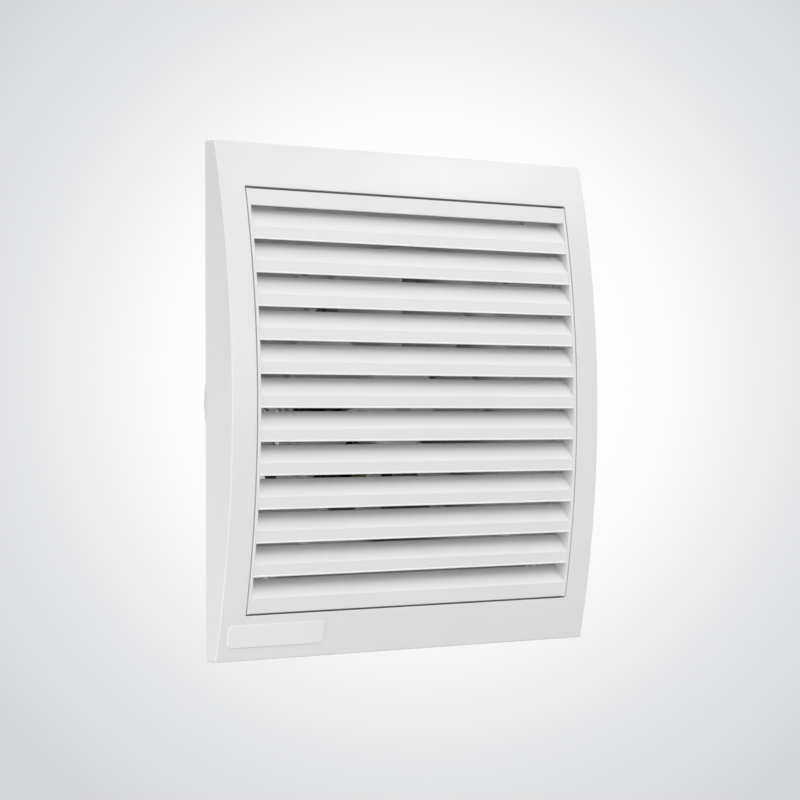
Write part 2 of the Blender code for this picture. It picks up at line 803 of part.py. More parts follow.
def make_flap(plastic, part, cutters):
    """A round flap that hangs from its pin and rests on the stop ring."""
    radius = SPIGOT_BORE - FLAP_GAP
    top = HINGE_HEIGHT
    start = math.asin(top / radius)
    sweep = math.pi + 2 * start
    rim = []
    for step in range(FLAP_STEPS + 1):
        angle = math.pi - start + sweep * step / FLAP_STEPS
        rim.append((radius * math.cos(angle), radius * math.sin(angle) - top))
    middle = (FLAP_FRONT + FLAP_BACK) / 2 - HINGE_DEPTH
    flap = outline_solid(
        "backdraught_flap",
        [rim],
        FLAP_THICKNESS,
        FACING_Y,
        (0, HINGE_DEPTH, HINGE_HEIGHT),
        plastic,
        part,
    )
    flap.data.transform(Matrix.Translation((0, 0, -middle)))
    hinge = Vector((0, HINGE_DEPTH, HINGE_HEIGHT))
    barrel = rod(
        "barrel",
        BARREL_RADIUS,
        hinge - Vector((BARREL_HALF, 0, 0)),
        hinge + Vector((BARREL_HALF, 0, 0)),
        plastic,
        part,
        ROUND_SIDES,
    )
    join(flap, barrel, cutters)
    rib_low = FLAP_BACK - FLAP_THICKNESS / 2
    rib_top = FLAP_BACK + FLAP_RIB_HEIGHT
    half_rib = FLAP_RIB_WIDTH / 2
    rib_reach = radius * FLAP_RIB_REACH_SHARE
    upright = block(
        "upright_rib",
        (-half_rib, rib_low, -rib_reach),
        (half_rib, rib_top, HINGE_HEIGHT - BARREL_RADIUS / 2),
        plastic,
        part,
    )
    join(flap, upright, cutters)
    crossing = block(
        "cross_rib",
        (-rib_reach, rib_low, -half_rib),
        (rib_reach, rib_top - BAR_INSET, half_rib),
        plastic,
        part,
    )
    join(flap, crossing, cutters)
    reach = SPIGOT_RADIUS
    bore = rod(
        "barrel_bore",
        around(PIN_RADIUS, FIT, SMALL_SIDES),
        hinge - Vector((reach, 0, 0)),
        hinge + Vector((reach, 0, 0)),
        plastic,
        part,
    )
    cut(flap, bore, cutters)
    return settled(flap)


def make_flap_pin(steel, part):
    half = pin_half_length()
    return rod(
        "flap_pin",
        PIN_RADIUS,
        (-half, HINGE_DEPTH, HINGE_HEIGHT),
        (half, HINGE_DEPTH, HINGE_HEIGHT),
        steel,
        part,
    )


def fan_blade(number, plastic, part):
    """One twisted blade, rooted in the hub's wall."""
    root = HUB_RADIUS - HUB_WALL / 2
    shape = bmesh.new()
    bmesh.ops.create_grid(
        shape, x_segments=BLADE_SPAN_STEPS, y_segments=BLADE_CHORD_STEPS, size=1
    )
    start = 2 * math.pi * number / IMPELLER_BLADES
    for vertex in shape.verts:
        span = (vertex.co.x + 1) / 2
        chord_share = vertex.co.y / 2
        radius = root + (TIP_RADIUS - root) * span
        chord = ROOT_CHORD + (TIP_CHORD - ROOT_CHORD) * span
        pitch = ROOT_PITCH + (TIP_PITCH - ROOT_PITCH) * span
        arched = FAN_BLADE_CAMBER * (1 - 4 * chord_share**2)
        along = chord_share * chord * math.sin(pitch) + arched * math.cos(pitch)
        across = chord_share * chord * math.cos(pitch) - arched * math.sin(pitch)
        angle = start + across / radius
        vertex.co = (
            radius * math.cos(angle),
            FAN_BLADE_CENTRE + along,
            radius * math.sin(angle),
        )
    blade = mesh_object("fan_blade", shape, plastic, part)
    wall = blade.modifiers.new("thickness", "SOLIDIFY")
    wall.thickness = FAN_BLADE_THICKNESS
    wall.offset = 0
    return settled(blade)


def make_impeller(plastic, part, cutters):
    inner = HUB_RADIUS - HUB_WALL
    bore = around(SHAFT_RADIUS, FIT, ROUND_SIDES)
    seat = HUB_FRONT + NUT_RECESS_DEPTH
    profile = [
        (inner, HUB_REAR),
        (HUB_RADIUS, HUB_REAR),
        (HUB_RADIUS, HUB_FRONT + HUB_ROUND),
        (HUB_RADIUS - HUB_ROUND * HUB_ROUND_SHARE, HUB_FRONT + HUB_ROUND * HUB_ROUND_SHARE),
        (HUB_RADIUS - HUB_ROUND, HUB_FRONT),
        (NUT_RECESS, HUB_FRONT),
        (NUT_RECESS, seat),
        (bore, seat),
        (bore, BOSS_REAR),
        (BOSS_RADIUS, BOSS_REAR),
        (BOSS_RADIUS, seat + HUB_FLOOR),
        (inner, seat + HUB_FLOOR),
    ]
    impeller = turned("impeller", profile, plastic, part)
    for number in range(IMPELLER_BLADES):
        join(impeller, fan_blade(number, plastic, part), cutters)
    return smooth(settled(impeller))


def hex_nut(name, flats, bore, front, back, x, surface, part):
    """A hexagon nut whose axis lies along Y."""
    corners = flats / math.sqrt(3)
    return outline_solid(
        name,
        [circle(corners, 6), circle(bore, SMALL_SIDES)],
        back - front,
        FACING_Y,
        (x, (front + back) / 2, 0),
        surface,
        part,
    )


def make_shaft(steel, part):
    front = (0, SHAFT_FRONT, 0)
    rear = (0, SHAFT_REAR, 0)
    return rod("motor_shaft", SHAFT_RADIUS, front, rear, steel, part, ROUND_SIDES)


def ring(name, outer, bore, front, back, surface, part, sides=ROUND_SIDES):
    """A plain ring about the Y axis."""
    profile = [(bore, back), (outer, back), (outer, front), (bore, front)]
    return turned(name, profile, surface, part, sides)


def make_rotor(iron, part):
    return ring(
        "rotor_core",
        ROTOR_RADIUS,
        around(SHAFT_RADIUS, FIT, ROUND_SIDES),
        STACK_FRONT - ROTOR_OVERHANG,
        STACK_BACK + ROTOR_OVERHANG,
        iron,
        part,
    )


def make_washers(nylon, part):
    bore = around(SHAFT_RADIUS, FIT, ROUND_SIDES)
    front = STACK_FRONT - ROTOR_OVERHANG - FIT
    back = STACK_BACK + ROTOR_OVERHANG + FIT
    return [
        ring("front_washer", WASHER_RADIUS, bore, front - WASHER_THICKNESS, front, nylon, part),
        ring("rear_washer", WASHER_RADIUS, bore, back, back + WASHER_THICKNESS, nylon, part),
    ]


def bearing_span(side):
    """Inner and outer end along Y of the bearing on one side of the rotor."""
    face = STACK_FRONT if side < 0 else STACK_BACK
    inner = face + side * (ROTOR_OVERHANG + 2 * FIT + WASHER_THICKNESS)
    return inner, inner + side * BEARING_LENGTH


def make_bearing(name, side, bronze, part):
    inner, outer = bearing_span(side)
    bore = around(SHAFT_RADIUS, RUNNING_GAP, ROUND_SIDES)
    return ring(
        name, BEARING_RADIUS, bore, min(inner, outer), max(inner, outer), bronze, part
    )


def make_bracket(name, side, alloy, part, cutters):
    """A bridge across one face of the stack, with a boss that holds the bearing."""
    face = STACK_FRONT if side < 0 else STACK_BACK
    foot = face + side * FIT
    under = foot + side * BRACKET_LEG
    top = under + side * BRACKET_THICKNESS
    half = STACK_HALF_WIDTH
    leg = half - BRACKET_LEG_WIDTH
    outline = [
        (-half, foot), (-leg, foot), (-leg, under), (leg, under),
        (leg, foot), (half, foot), (half, top), (-half, top),
    ]
    bracket = outline_solid(
        name, [outline], 2 * BRACKET_HALF_HEIGHT, FACING_Z, (0, 0, 0), alloy, part
    )
    boss = rod(
        "boss",
        BRACKET_BOSS_RADIUS,
        (0, under + side * BRACKET_THICKNESS / 2, 0),
        (0, top + side * BRACKET_BOSS_REACH, 0),
        alloy,
        part,
        ROUND_SIDES,
    )
    join(bracket, boss, cutters)
    far = side * STACK_THICKNESS
    seat = rod(
        "bearing_seat",
        around(BEARING_RADIUS, FIT, ROUND_SIDES),
        (0, face, 0),
        (0, top + far, 0),
        alloy,
        part,
        ROUND_SIDES,
    )
    cut(bracket, seat, cutters)
    for x in (-MOTOR_SCREW_X, MOTOR_SCREW_X):
        hole = rod(
            "bracket_hole",
            around(MOTOR_SCREW_RADIUS, FIT, SMALL_SIDES),
            (x, face - far, 0),
            (x, top + far, 0),
            alloy,
            part,
        )
        cut(bracket, hole, cutters)
    return smooth(settled(bracket))


def make_stack(iron, part):
    """The stator laminations: rotor bore, coil window, screw holes and ring slots."""
    bottom, top = STACK_BOTTOM, STACK_TOP
    window_bottom = bottom + LEG_HEIGHT
    window_half = (WINDOW_TOP - window_bottom) / 2
    hole = around(MOTOR_SCREW_RADIUS, FIT, SMALL_SIDES)
    loops = [
        rectangle(STACK_HALF_WIDTH, (top - bottom) / 2, (0, (top + bottom) / 2)),
        circle(around(ROTOR_RADIUS, AIR_GAP, ROUND_SIDES), ROUND_SIDES),
        rectangle(WINDOW_HALF_WIDTH, window_half, (0, window_bottom + window_half)),
        circle(hole, SMALL_SIDES, (-MOTOR_SCREW_X, 0)),
        circle(hole, SMALL_SIDES, (MOTOR_SCREW_X, 0)),
    ]
    for side in (-1, 1):
        for x in (RING_NEAR, RING_FAR):
            loops.append(rectangle(RING_SLOT / 2, RING_SLOT / 2, (side * x, side * RING_HEIGHT)))
    return outline_solid(
        "stator_stack",
        loops,
        STACK_THICKNESS,
        FACING_Y,
        (0, (STACK_FRONT + STACK_BACK) / 2, 0),
        iron,
        part,
    )


def make_shading_rings(copper, part):
    """Copper loops through the slots of the two poles."""
    middle = (STACK_FRONT + STACK_BACK) / 2
    half_long = STACK_THICKNESS / 2 + FIT
    centre = (RING_NEAR + RING_FAR) / 2
    half_wide = (RING_FAR - RING_NEAR) / 2
    pieces = []
    for side in (-1, 1):
        outer = rectangle(half_wide + RING_WIRE / 2, half_long + RING_WIRE, (0, middle))
        inner = rectangle(half_wide - RING_WIRE / 2, half_long, (0, middle))
        place_at = (side * centre, 0, side * RING_HEIGHT)
        pieces.append(
            outline_solid(
                "shading_ring", [outer, inner], RING_WIRE, FACING_Z, place_at, copper, part
            )
        )
    return numbered(pieces)


def leg_centre():
    """Centre of the leg that carries the coil, as (y, z)."""
    return (STACK_FRONT + STACK_BACK) / 2, STACK_BOTTOM + LEG_HEIGHT / 2


def rectangular_tube(name, half_length, outer, inner, surface, part):
    """A tube of rectangular section along X round the coil's leg; sizes are (y, z) halves."""
    return outline_solid(
        name,
        [rectangle(*outer, leg_centre()), rectangle(*inner, leg_centre())],
        2 * half_length,
        FACING_X,
        (0, 0, 0),
        surface,
        part,
    )


def bobbin_core():
    """Half sizes (y, z) of the bobbin's hole round the leg."""
    return STACK_THICKNESS / 2 + FIT, LEG_HEIGHT / 2 + FIT


def make_bobbin(plastic, part, cutters):
    hole = bobbin_core()
    outer = (hole[0] + BOBBIN_WALL, hole[1] + BOBBIN_WALL)
    overlap = BOBBIN_FLANGE / 2
    bobbin = rectangular_tube(
        "coil_bobbin", BOBBIN_HALF_LENGTH - overlap, outer, hole, plastic, part
    )
    for side in (-1, 1):
        # The flange's hole is a hair larger, so that it meets the tube inside its wall.
        hair = BOBBIN_WALL / 4
        flange = outline_solid(
            "flange",
            [
                rectangle(FLANGE_HALF_DEPTH, FLANGE_HALF_HEIGHT, leg_centre()),
                rectangle(hole[0] + hair, hole[1] + hair, leg_centre()),
            ],
            BOBBIN_FLANGE,
            FACING_X,
            (side * (BOBBIN_HALF_LENGTH - BOBBIN_FLANGE / 2), 0, 0),
            plastic,
            part,
        )
        join(bobbin, flange, cutters)
    return settled(bobbin)


def make_winding(copper, part):
    hole = bobbin_core()
    gap = BOBBIN_WALL + FIT
    winding = rectangular_tube(
        "coil_winding",
        BOBBIN_HALF_LENGTH - BOBBIN_FLANGE - FIT,
        (FLANGE_HALF_DEPTH - WINDING_STEP, FLANGE_HALF_HEIGHT - WINDING_STEP),
        (hole[0] + gap, hole[1] + gap),
        copper,
        part,
    )
    rounding = winding.modifiers.new("rounding", "BEVEL")
    rounding.width = BOBBIN_WALL
    rounding.segments = 2
    rounding.limit_method = "ANGLE"
    return smooth(settled(winding))


def make_fuse(plastic, part):
    y, z = leg_centre()
    z -= FLANGE_HALF_HEIGHT - WINDING_STEP + FIT + FUSE_RADIUS
    half = FUSE_LENGTH / 2
    return rod("thermal_fuse", FUSE_RADIUS, (-half, y, z), (half, y, z), plastic, part)


def front_bracket_face():
    """Y of the front of the front bearing bracket's bar."""
    return STACK_FRONT - FIT - BRACKET_LEG - BRACKET_THICKNESS


def make_motor_screws(steel, part):
    head_front = SPIDER_BACK + FIT
    nut_front = front_bracket_face() - FIT - MOTOR_NUT_HEIGHT
    screws = []
    for x in (-MOTOR_SCREW_X, MOTOR_SCREW_X):
        profile = [
            (0, head_front + MOTOR_SCREW_HEAD_HEIGHT),
            (MOTOR_SCREW_HEAD * HEAD_TOP_SHARE, head_front + MOTOR_SCREW_HEAD_HEIGHT),
            (MOTOR_SCREW_HEAD, head_front + MOTOR_SCREW_HEAD_HEIGHT / 2),
            (MOTOR_SCREW_HEAD, head_front),
            (MOTOR_SCREW_RADIUS, head_front),
            (MOTOR_SCREW_RADIUS, nut_front - FIT),
            (0, nut_front - FIT),
        ]
        screw = turned("motor_screw", profile, steel, part, SMALL_SIDES, closed=False)
        screw.location = (x, 0, 0)
        screws.append(screw)
    return numbered(screws)


def make_motor_nuts(steel, part):
    back = front_bracket_face() - FIT
    bore = around(MOTOR_SCREW_RADIUS, FIT, SMALL_SIDES)
    nuts = [
        hex_nut("motor_nut", NUT_FLATS, bore, back - MOTOR_NUT_HEIGHT, back, x, steel, part)
        for x in (-MOTOR_SCREW_X, MOTOR_SCREW_X)
    ]
    return numbered(nuts)


def make_impeller_nut(brass, part):
    back = HUB_FRONT + NUT_RECESS_DEPTH - FIT
    bore = around(SHAFT_RADIUS, FIT, SMALL_SIDES)
    return hex_nut("impeller_nut", NUT_FLATS, bore, back - NUT_HEIGHT, back, 0, brass, part)


def small_screw(name, x, z, head_back, tip, steel, part):
    """A pan-head screw along Y whose head rests at head_back."""
    profile = [
        (0, tip),
        (SMALL_SCREW_RADIUS, tip),
        (SMALL_SCREW_RADIUS, head_back),
        (SMALL_SCREW_HEAD, head_back),
        (SMALL_SCREW_HEAD, head_back - SMALL_SCREW_HEAD_HEIGHT / 2),
        (SMALL_SCREW_HEAD * HEAD_TOP_SHARE, head_back - SMALL_SCREW_HEAD_HEIGHT),
        (0, head_back - SMALL_SCREW_HEAD_HEIGHT),
    ]
    screw = turned(name, profile, steel, part, SMALL_SIDES, closed=False)
    screw.location = (x, 0, z)
    return screw


def terminal_places():
    """Places (x, z) of the terminal screws, two to a pole."""
    return [
        (BLOCK_CENTRE + side * BLOCK_POCKET_OFFSET, level * BLOCK_POLE_HALF)
        for side in (-1, 1)
        for level in (-1, 1)
    ]


def make_terminal_block(plastic, part, cutters):
    back = BASE_FRONT - FIT
    front = back - BLOCK_HEIGHT
    terminal = block(
        "terminal_block",
        (BLOCK_LEFT, front, -BLOCK_HALF_LENGTH),
        (BLOCK_RIGHT, back, BLOCK_HALF_LENGTH),
        plastic,
        part,
    )
    for x, z in terminal_places():
        pocket = rod(
            "pocket",
            BLOCK_POCKET,
            (x, front - OVERRUN, z),
            (x, front + BLOCK_POCKET_DEPTH, z),
            plastic,
            part,
        )
        cut(terminal, pocket, cutters)
        thread = rod(
            "thread",
            around(SMALL_SCREW_RADIUS, FIT, SMALL_SIDES),
            (x, front, z),
            (x, back - BLOCK_POCKET_DEPTH / 2, z),
            plastic,
            part,
        )
        cut(terminal, thread, cutters)
    hole = rod(
        "block_hole",
        around(SMALL_SCREW_RADIUS, FIT, SMALL_SIDES),
        (BLOCK_CENTRE, front - OVERRUN, 0),
        (BLOCK_CENTRE, back + OVERRUN, 0),
        plastic,
        part,
    )
    cut(terminal, hole, cutters)
    return smooth(settled(terminal))


def make_terminal_screws(steel, part):
    front = BASE_FRONT - FIT - BLOCK_HEIGHT
    seat = front + BLOCK_POCKET_DEPTH - FIT
    tip = BASE_FRONT - FIT - BLOCK_POCKET_DEPTH / 2 - FIT
    pieces = [
        small_screw("terminal_screw", x, z, seat, tip, steel, part)
        for x, z in terminal_places()
    ]
    return numbered(pieces)


def make_block_screw(steel, part):
    front = BASE_FRONT - FIT - BLOCK_HEIGHT
    tip = BASE_FRONT - FIT
    return small_screw(
        "terminal_block_screw", BLOCK_CENTRE, 0, front - FIT, tip, steel, part
    )


def make_cable_clamp(plastic, part, cutters):
    """A saddle across the cable's way, screwed to the base."""
    back = BASE_FRONT - FIT
    front = back - CLAMP_THICKNESS
    half = BLOCK_WIDTH / 2
    outline = [(half, back), (half, front), (-half, front), (-half, back)]
    for step in range(QUARTER_STEPS + 1):
        angle = math.pi - math.pi * step / QUARTER_STEPS
        outline.append((CLAMP_HOLLOW * math.cos(angle), back - CLAMP_HOLLOW * math.sin(angle)))
    clamp = outline_solid(
        "cable_clamp",
        [outline],
        2 * CLAMP_HALF_HEIGHT,
        FACING_Z,
        (BLOCK_CENTRE, 0, -CLAMP_DROP),
        plastic,
        part,
    )
    for side in (-1, 1):
        x = BLOCK_CENTRE + side * CLAMP_SCREW_OFFSET
        hole = rod(
            "clamp_hole",
            around(SMALL_SCREW_RADIUS, FIT, SMALL_SIDES),
            (x, front - OVERRUN, -CLAMP_DROP),
            (x, back + OVERRUN, -CLAMP_DROP),
            plastic,
            part,
        )
        cut(clamp, hole, cutters)
    return smooth(settled(clamp))


def make_clamp_screws(steel, part):
    front = BASE_FRONT - FIT - CLAMP_THICKNESS
    pieces = [
        small_screw(
            "cable_clamp_screw",
            BLOCK_CENTRE + side * CLAMP_SCREW_OFFSET,
            -CLAMP_DROP,
            front - FIT,
            BASE_FRONT - FIT,
            steel,
            part,
        )
        for side in (-1, 1)
    ]
    return numbered(pieces)


def make_grommet(rubber, part):
    """A rubber bush in the base plate, where the supply cable comes in."""
    step = BASE_FRONT - FIT
    profile = [
        (GROMMET_BORE, -FIT),
        (GROMMET_BODY, -FIT),
        (GROMMET_BODY, step),
        (GROMMET_FLANGE, step),
        (GROMMET_FLANGE, step - GROMMET_FLANGE_THICKNESS),
        (GROMMET_BORE, step - GROMMET_FLANGE_THICKNESS),
    ]
    grommet = turned("cable_grommet", profile, rubber, part)
    grommet.location = (BLOCK_CENTRE, 0, -GROMMET_DROP)
    return grommet


def smooth_route(corners, steps):
    """Points of a Catmull-Rom curve through the corners."""
    ends = [2 * corners[0] - corners[1], *corners, 2 * corners[-1] - corners[-2]]
    route = []
    for a, b, c, d in zip(ends, ends[1:], ends[2:], ends[3:]):
        for step in range(steps):
            t = step / steps
            route.append(
                0.5 * ((2 * b) + (c - a) * t + (2 * a - 5 * b + 4 * c - d) * t**2
                       + (3 * b - a - 3 * c + d) * t**3)
            )
    route.append(corners[-1])
    return route


def make_lead(name, side, plastic, part):
    """One motor lead: over the mouth, along the duct's wall and a spider arm, to the coil."""
    aside = side * LEAD_SPACING / 2
    off = LEAD_RADIUS + FIT
    wall = -(SPIGOT_BORE - off)
    mouth = BASE_FRONT - MOUTH_HEIGHT - off
    arm = SPIDER_FRONT - off
    bracket_edge = -(STACK_HALF_WIDTH + LEAD_SPACING)
    coil_y, coil_z = leg_centre()
    coil_top = coil_z + FLANGE_HALF_HEIGHT * LEAD_ENTRY_SHARE
    end_x = -(BOBBIN_HALF_LENGTH + FIT)
    reach = LEAD_SPACING
    corners = [
        (BLOCK_RIGHT + FIT, mouth, aside),
        (-(SPIGOT_BORE + MOUTH_FLARE), mouth - FIT, aside),
        (wall - MOUTH_FLARE * 0.42, mouth + MOUTH_HEIGHT * 0.28, aside),
        (wall, -BASE_FRONT, aside),
        (wall, SPIDER_FRONT * 0.3, aside),
        (wall, SPIDER_FRONT * 0.6, aside),
        (wall, arm - reach, aside),
        (wall + reach * 0.4, arm - reach * 0.25, aside),
        (wall + reach * 1.5, arm, aside),
        (wall * 0.65, arm, aside),
        (bracket_edge - reach * 2, arm, aside),
        (bracket_edge + aside * 0.7 - reach * 0.3, arm, aside * 0.7 - reach * 0.3),
        (bracket_edge + aside, arm - LEAD_RADIUS, -reach * 2),
        (bracket_edge + aside, arm - 2 * LEAD_RADIUS, -reach * 4.5),
        (
            bracket_edge + aside * 0.7 + reach * 0.5,
            arm - reach,
            coil_top + aside * 0.7 + reach * 0.6,
        ),
        (end_x - reach * 1.5, arm - reach, coil_top + aside),
        (end_x, arm - reach, coil_top + aside),
    ]
    route = smooth_route([Vector(corner) for corner in corners], LEAD_STEPS)
    curve = bpy.data.curves.new(name, "CURVE")
    curve.dimensions = "3D"
    curve.bevel_depth = LEAD_RADIUS
    curve.bevel_resolution = 1
    curve.use_fill_caps = True
    spline = curve.splines.new("POLY")
    spline.points.add(len(route) - 1)
    for point, place_at in zip(spline.points, route):
        point.co = (*place_at, 1)
    return place(bpy.data.objects.new(name, curve), plastic, part)


def hang(name, location, pieces, collection):
    """Parents pieces to an empty on their joint's axis, without moving them."""
    empty = bpy.data.objects.new(name, None)
    empty.location = location
    collection.objects.link(empty)
    bpy.context.view_layer.update()
    for piece in pieces:
        piece.parent = empty
        piece.matrix_parent_inverse = empty.matrix_world.inverted()


def main():
    clear_scene()
    part = new_collection("kitchen_exhaust_fan")
    cutters = new_collection("cutters", hidden=True)

    white = material("white_plastic", (0.83, 0.84, 0.86), 0.42)
    film = material("label_film", (0.80, 0.81, 0.82), 0.35)
    housing_grey = material("housing_plastic", (0.72, 0.73, 0.74), 0.5)
    impeller_white = material("impeller_plastic", (0.76, 0.76, 0.75), 0.5)
    flap_white = material("flap_plastic", (0.78, 0.79, 0.80), 0.5)
    steel = material("zinc_steel", (0.62, 0.62, 0.60), 0.35, 1.0)
    iron = material("lamination_iron", (0.28, 0.29, 0.31), 0.5, 0.9)
    alloy = material("die_cast_alloy", (0.58, 0.59, 0.60), 0.45, 1.0)
    bronze = material("sintered_bronze", (0.55, 0.38, 0.20), 0.5, 1.0)
    copper = material("copper", (0.72, 0.35, 0.20), 0.35, 1.0)
    tape = material("coil_tape", (0.75, 0.60, 0.16), 0.45)
    bobbin_black = material("bobbin_plastic", (0.05, 0.05, 0.055), 0.45)
    nylon = material("nylon", (0.80, 0.78, 0.70), 0.5)
    block_plastic = material("terminal_plastic", (0.82, 0.80, 0.74), 0.5)
    rubber = material("black_rubber", (0.03, 0.03, 0.03), 0.7)
    brown = material("brown_sleeve", (0.20, 0.08, 0.03), 0.45)
    blue = material("blue_sleeve", (0.04, 0.14, 0.42), 0.45)

    make_front_cover(white, part, cutters)
    make_cover_screws(steel, part)
    make_label(film, part)
    grille = make_louvre_grille(white, part, cutters)
    make_duct_housing(housing_grey, part, cutters)
    flap = make_flap(flap_white, part, cutters)
    make_flap_pin(steel, part)

    impeller = make_impeller(impeller_white, part, cutters)
    nut = make_impeller_nut(bronze, part)
    shaft = make_shaft(steel, part)
    rotor = make_rotor(iron, part)
    washers = make_washers(nylon, part)

    make_bearing("front_bearing", -1, bronze, part)
    make_bearing("rear_bearing", 1, bronze, part)
    make_bracket("front_bearing_bracket", -1, alloy, part, cutters)
    make_bracket("rear_bearing_bracket", 1, alloy, part, cutters)
    make_stack(iron, part)
    make_shading_rings(copper, part)
    make_bobbin(bobbin_black, part, cutters)
    make_winding(tape, part)
    make_fuse(nylon, part)
    make_motor_screws(steel, part)
    make_motor_nuts(steel, part)

    make_terminal_block(block_plastic, part, cutters)
    make_terminal_screws(steel, part)
    make_block_screw(steel, part)
    make_cable_clamp(block_plastic, part, cutters)
    make_clamp_screws(steel, part)
    make_grommet(rubber, part)
    make_lead("live_lead", 1, brown, part)
    make_lead("neutral_lead", -1, blue, part)

    hang("fan_axis", (0, 0, 0), [impeller, nut, shaft, rotor, *washers], part)
    hang("flap_axis", (0, HINGE_DEPTH, HINGE_HEIGHT), [flap], part)
    hang("grille_slide", (0, GRILLE_BACK, 0), [grille], part)


if __name__ == "__main__":
    main()
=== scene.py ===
"""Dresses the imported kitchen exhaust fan: cover, louvre insert, duct housing, fan, motor, wiring.

Units are metres, +Z is up, the room is towards -Y and the duct towards +Y. The origin is on
the duct's axis, in the plane of the wall.
"""

import logging
import math
from collections.abc import Callable, Sequence
from dataclasses import dataclass, field
from enum import Enum

import bmesh
import bpy
from mathutils import Euler, Matrix, Vector


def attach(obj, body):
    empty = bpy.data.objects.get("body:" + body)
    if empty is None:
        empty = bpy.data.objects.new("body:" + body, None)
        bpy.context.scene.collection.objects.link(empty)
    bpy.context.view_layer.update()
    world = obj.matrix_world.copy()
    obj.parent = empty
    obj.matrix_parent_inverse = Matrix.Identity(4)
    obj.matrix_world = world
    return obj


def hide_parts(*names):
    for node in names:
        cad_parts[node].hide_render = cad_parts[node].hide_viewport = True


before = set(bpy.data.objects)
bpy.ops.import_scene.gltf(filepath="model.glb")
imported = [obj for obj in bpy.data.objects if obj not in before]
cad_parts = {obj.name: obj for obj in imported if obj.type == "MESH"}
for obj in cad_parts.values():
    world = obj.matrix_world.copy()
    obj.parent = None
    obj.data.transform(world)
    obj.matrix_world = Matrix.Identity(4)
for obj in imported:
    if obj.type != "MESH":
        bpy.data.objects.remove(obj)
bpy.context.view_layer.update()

LOG = logging.getLogger("kitchen_exhaust_fan")

Piece = bpy.types.Object
Socket = bpy.types.NodeSocket
Pair = tuple[float, float]
Triple = tuple[float, float, float]
Depth = Callable[[float], float]

# Distance below which two corners are one, a hair by which solids overlap, a right angle
MERGE = 0.000002
HAIR = 0.0001
RIGHT_ANGLE = math.pi / 2

# Nuts for the 4 mm threads of the shaft and of the motor screws, and X and Z of those screws
NUT_FLATS = 0.007
NUT_BORE = 0.0023
MOTOR_SCREWS = ((-0.017, 0.0), (0.017, 0.0))

# Y and Z of the flap's hinge, and the radius of the holes for its pin
HINGE = (0.0616, 0.066)
PIN_HOLE = 0.00134


class Facing(Enum):
    """The way that the thickness of a flat outline runs, with the turn that brings it there."""

    X = (RIGHT_ANGLE, 0.0, RIGHT_ANGLE)
    Y = (RIGHT_ANGLE, 0.0, 0.0)
    Z = (0.0, 0.0, 0.0)

    def at(self, place: float) -> Matrix:
        """The turn from the outline's own plane and the move along the thickness."""
        along = Vector([place if axis == self.name else 0.0 for axis in "XYZ"])
        return Matrix.Translation(along) @ Euler(self.value).to_matrix().to_4x4()


class Texture(Enum):
    """How the close-up surface of a finish is stretched; a turned one runs round the Y axis."""

    MOULDED = (1.0, 1.0, 1.0)
    STACKED = (0.05, 1.0, 0.05)
    WOUND = (1.0, 0.06, 0.06)
    TURNED = None


class Action(Enum):
    """What a Boolean does with its tool."""

    ADD = "UNION"
    CUT = "DIFFERENCE"


class Graph:
    """Adds nodes to a tree and wires them."""

    def __init__(self, tree: bpy.types.NodeTree) -> None:
        """Works on the node tree of a material, a world or a pattern."""
        self.tree = tree

    def feed(self, node: bpy.types.Node, inputs: dict) -> None:
        """Sets or links the inputs of a node.

        Args:
            node: The node.
            inputs: A value, or a socket to link, for each input by name or number.
        """
        for key, value in inputs.items():
            if isinstance(value, Socket):
                self.tree.links.new(value, node.inputs[key])
            else:
                node.inputs[key].default_value = value

    def add(self, kind: str, inputs: dict | None = None, **settings: object) -> bpy.types.Node:
        """Adds a node.

        Args:
            kind: Blender's name of the node type.
            inputs: What its inputs are fed.
            settings: The node's own properties.

        Returns:
            The new node.
        """
        node = self.tree.nodes.new(kind)
        for key, value in settings.items():
            setattr(node, key, value)
        self.feed(node, inputs or {})
        return node

    def maths(self, operation: str, *values: object) -> Socket:
        """The result of one sum on numbers or sockets."""
        return self.add("ShaderNodeMath", dict(enumerate(values)), operation=operation).outputs[0]

    def measure(self, operation: str, *vectors: object) -> Socket:
        """The number that one sum on vectors gives."""
        node = self.add("ShaderNodeVectorMath", dict(enumerate(vectors)), operation=operation)
        return node.outputs["Value"]

    def vector(self, **parts: Socket) -> Socket:
        """A vector of the parts X, Y and Z, each zero where it isn't given."""
        return self.add("ShaderNodeCombineXYZ", parts).outputs[0]

    def parts(self, vector: Socket) -> Sequence[Socket]:
        """The X, Y and Z of a vector."""
        return self.add("ShaderNodeSeparateXYZ", {0: vector}).outputs

    def noise(self, where: Socket, size: float, detail: float) -> Socket:
        """Smooth random values from 0 to 1, in spots of a size in metres."""
        inputs = {"Vector": where, "Scale": 1 / size, "Detail": detail, "Roughness": 0.55}
        return self.add("ShaderNodeTexNoise", inputs).outputs["Fac"]

    def ranged(self, value: Socket, start: Pair, end: Pair, kind: str = "LINEAR") -> Socket:
        """Brings a value from one range to another."""
        inputs = {1: start[0], 2: start[1], 3: end[0], 4: end[1], "Value": value}
        return self.add("ShaderNodeMapRange", inputs, interpolation_type=kind).outputs["Result"]


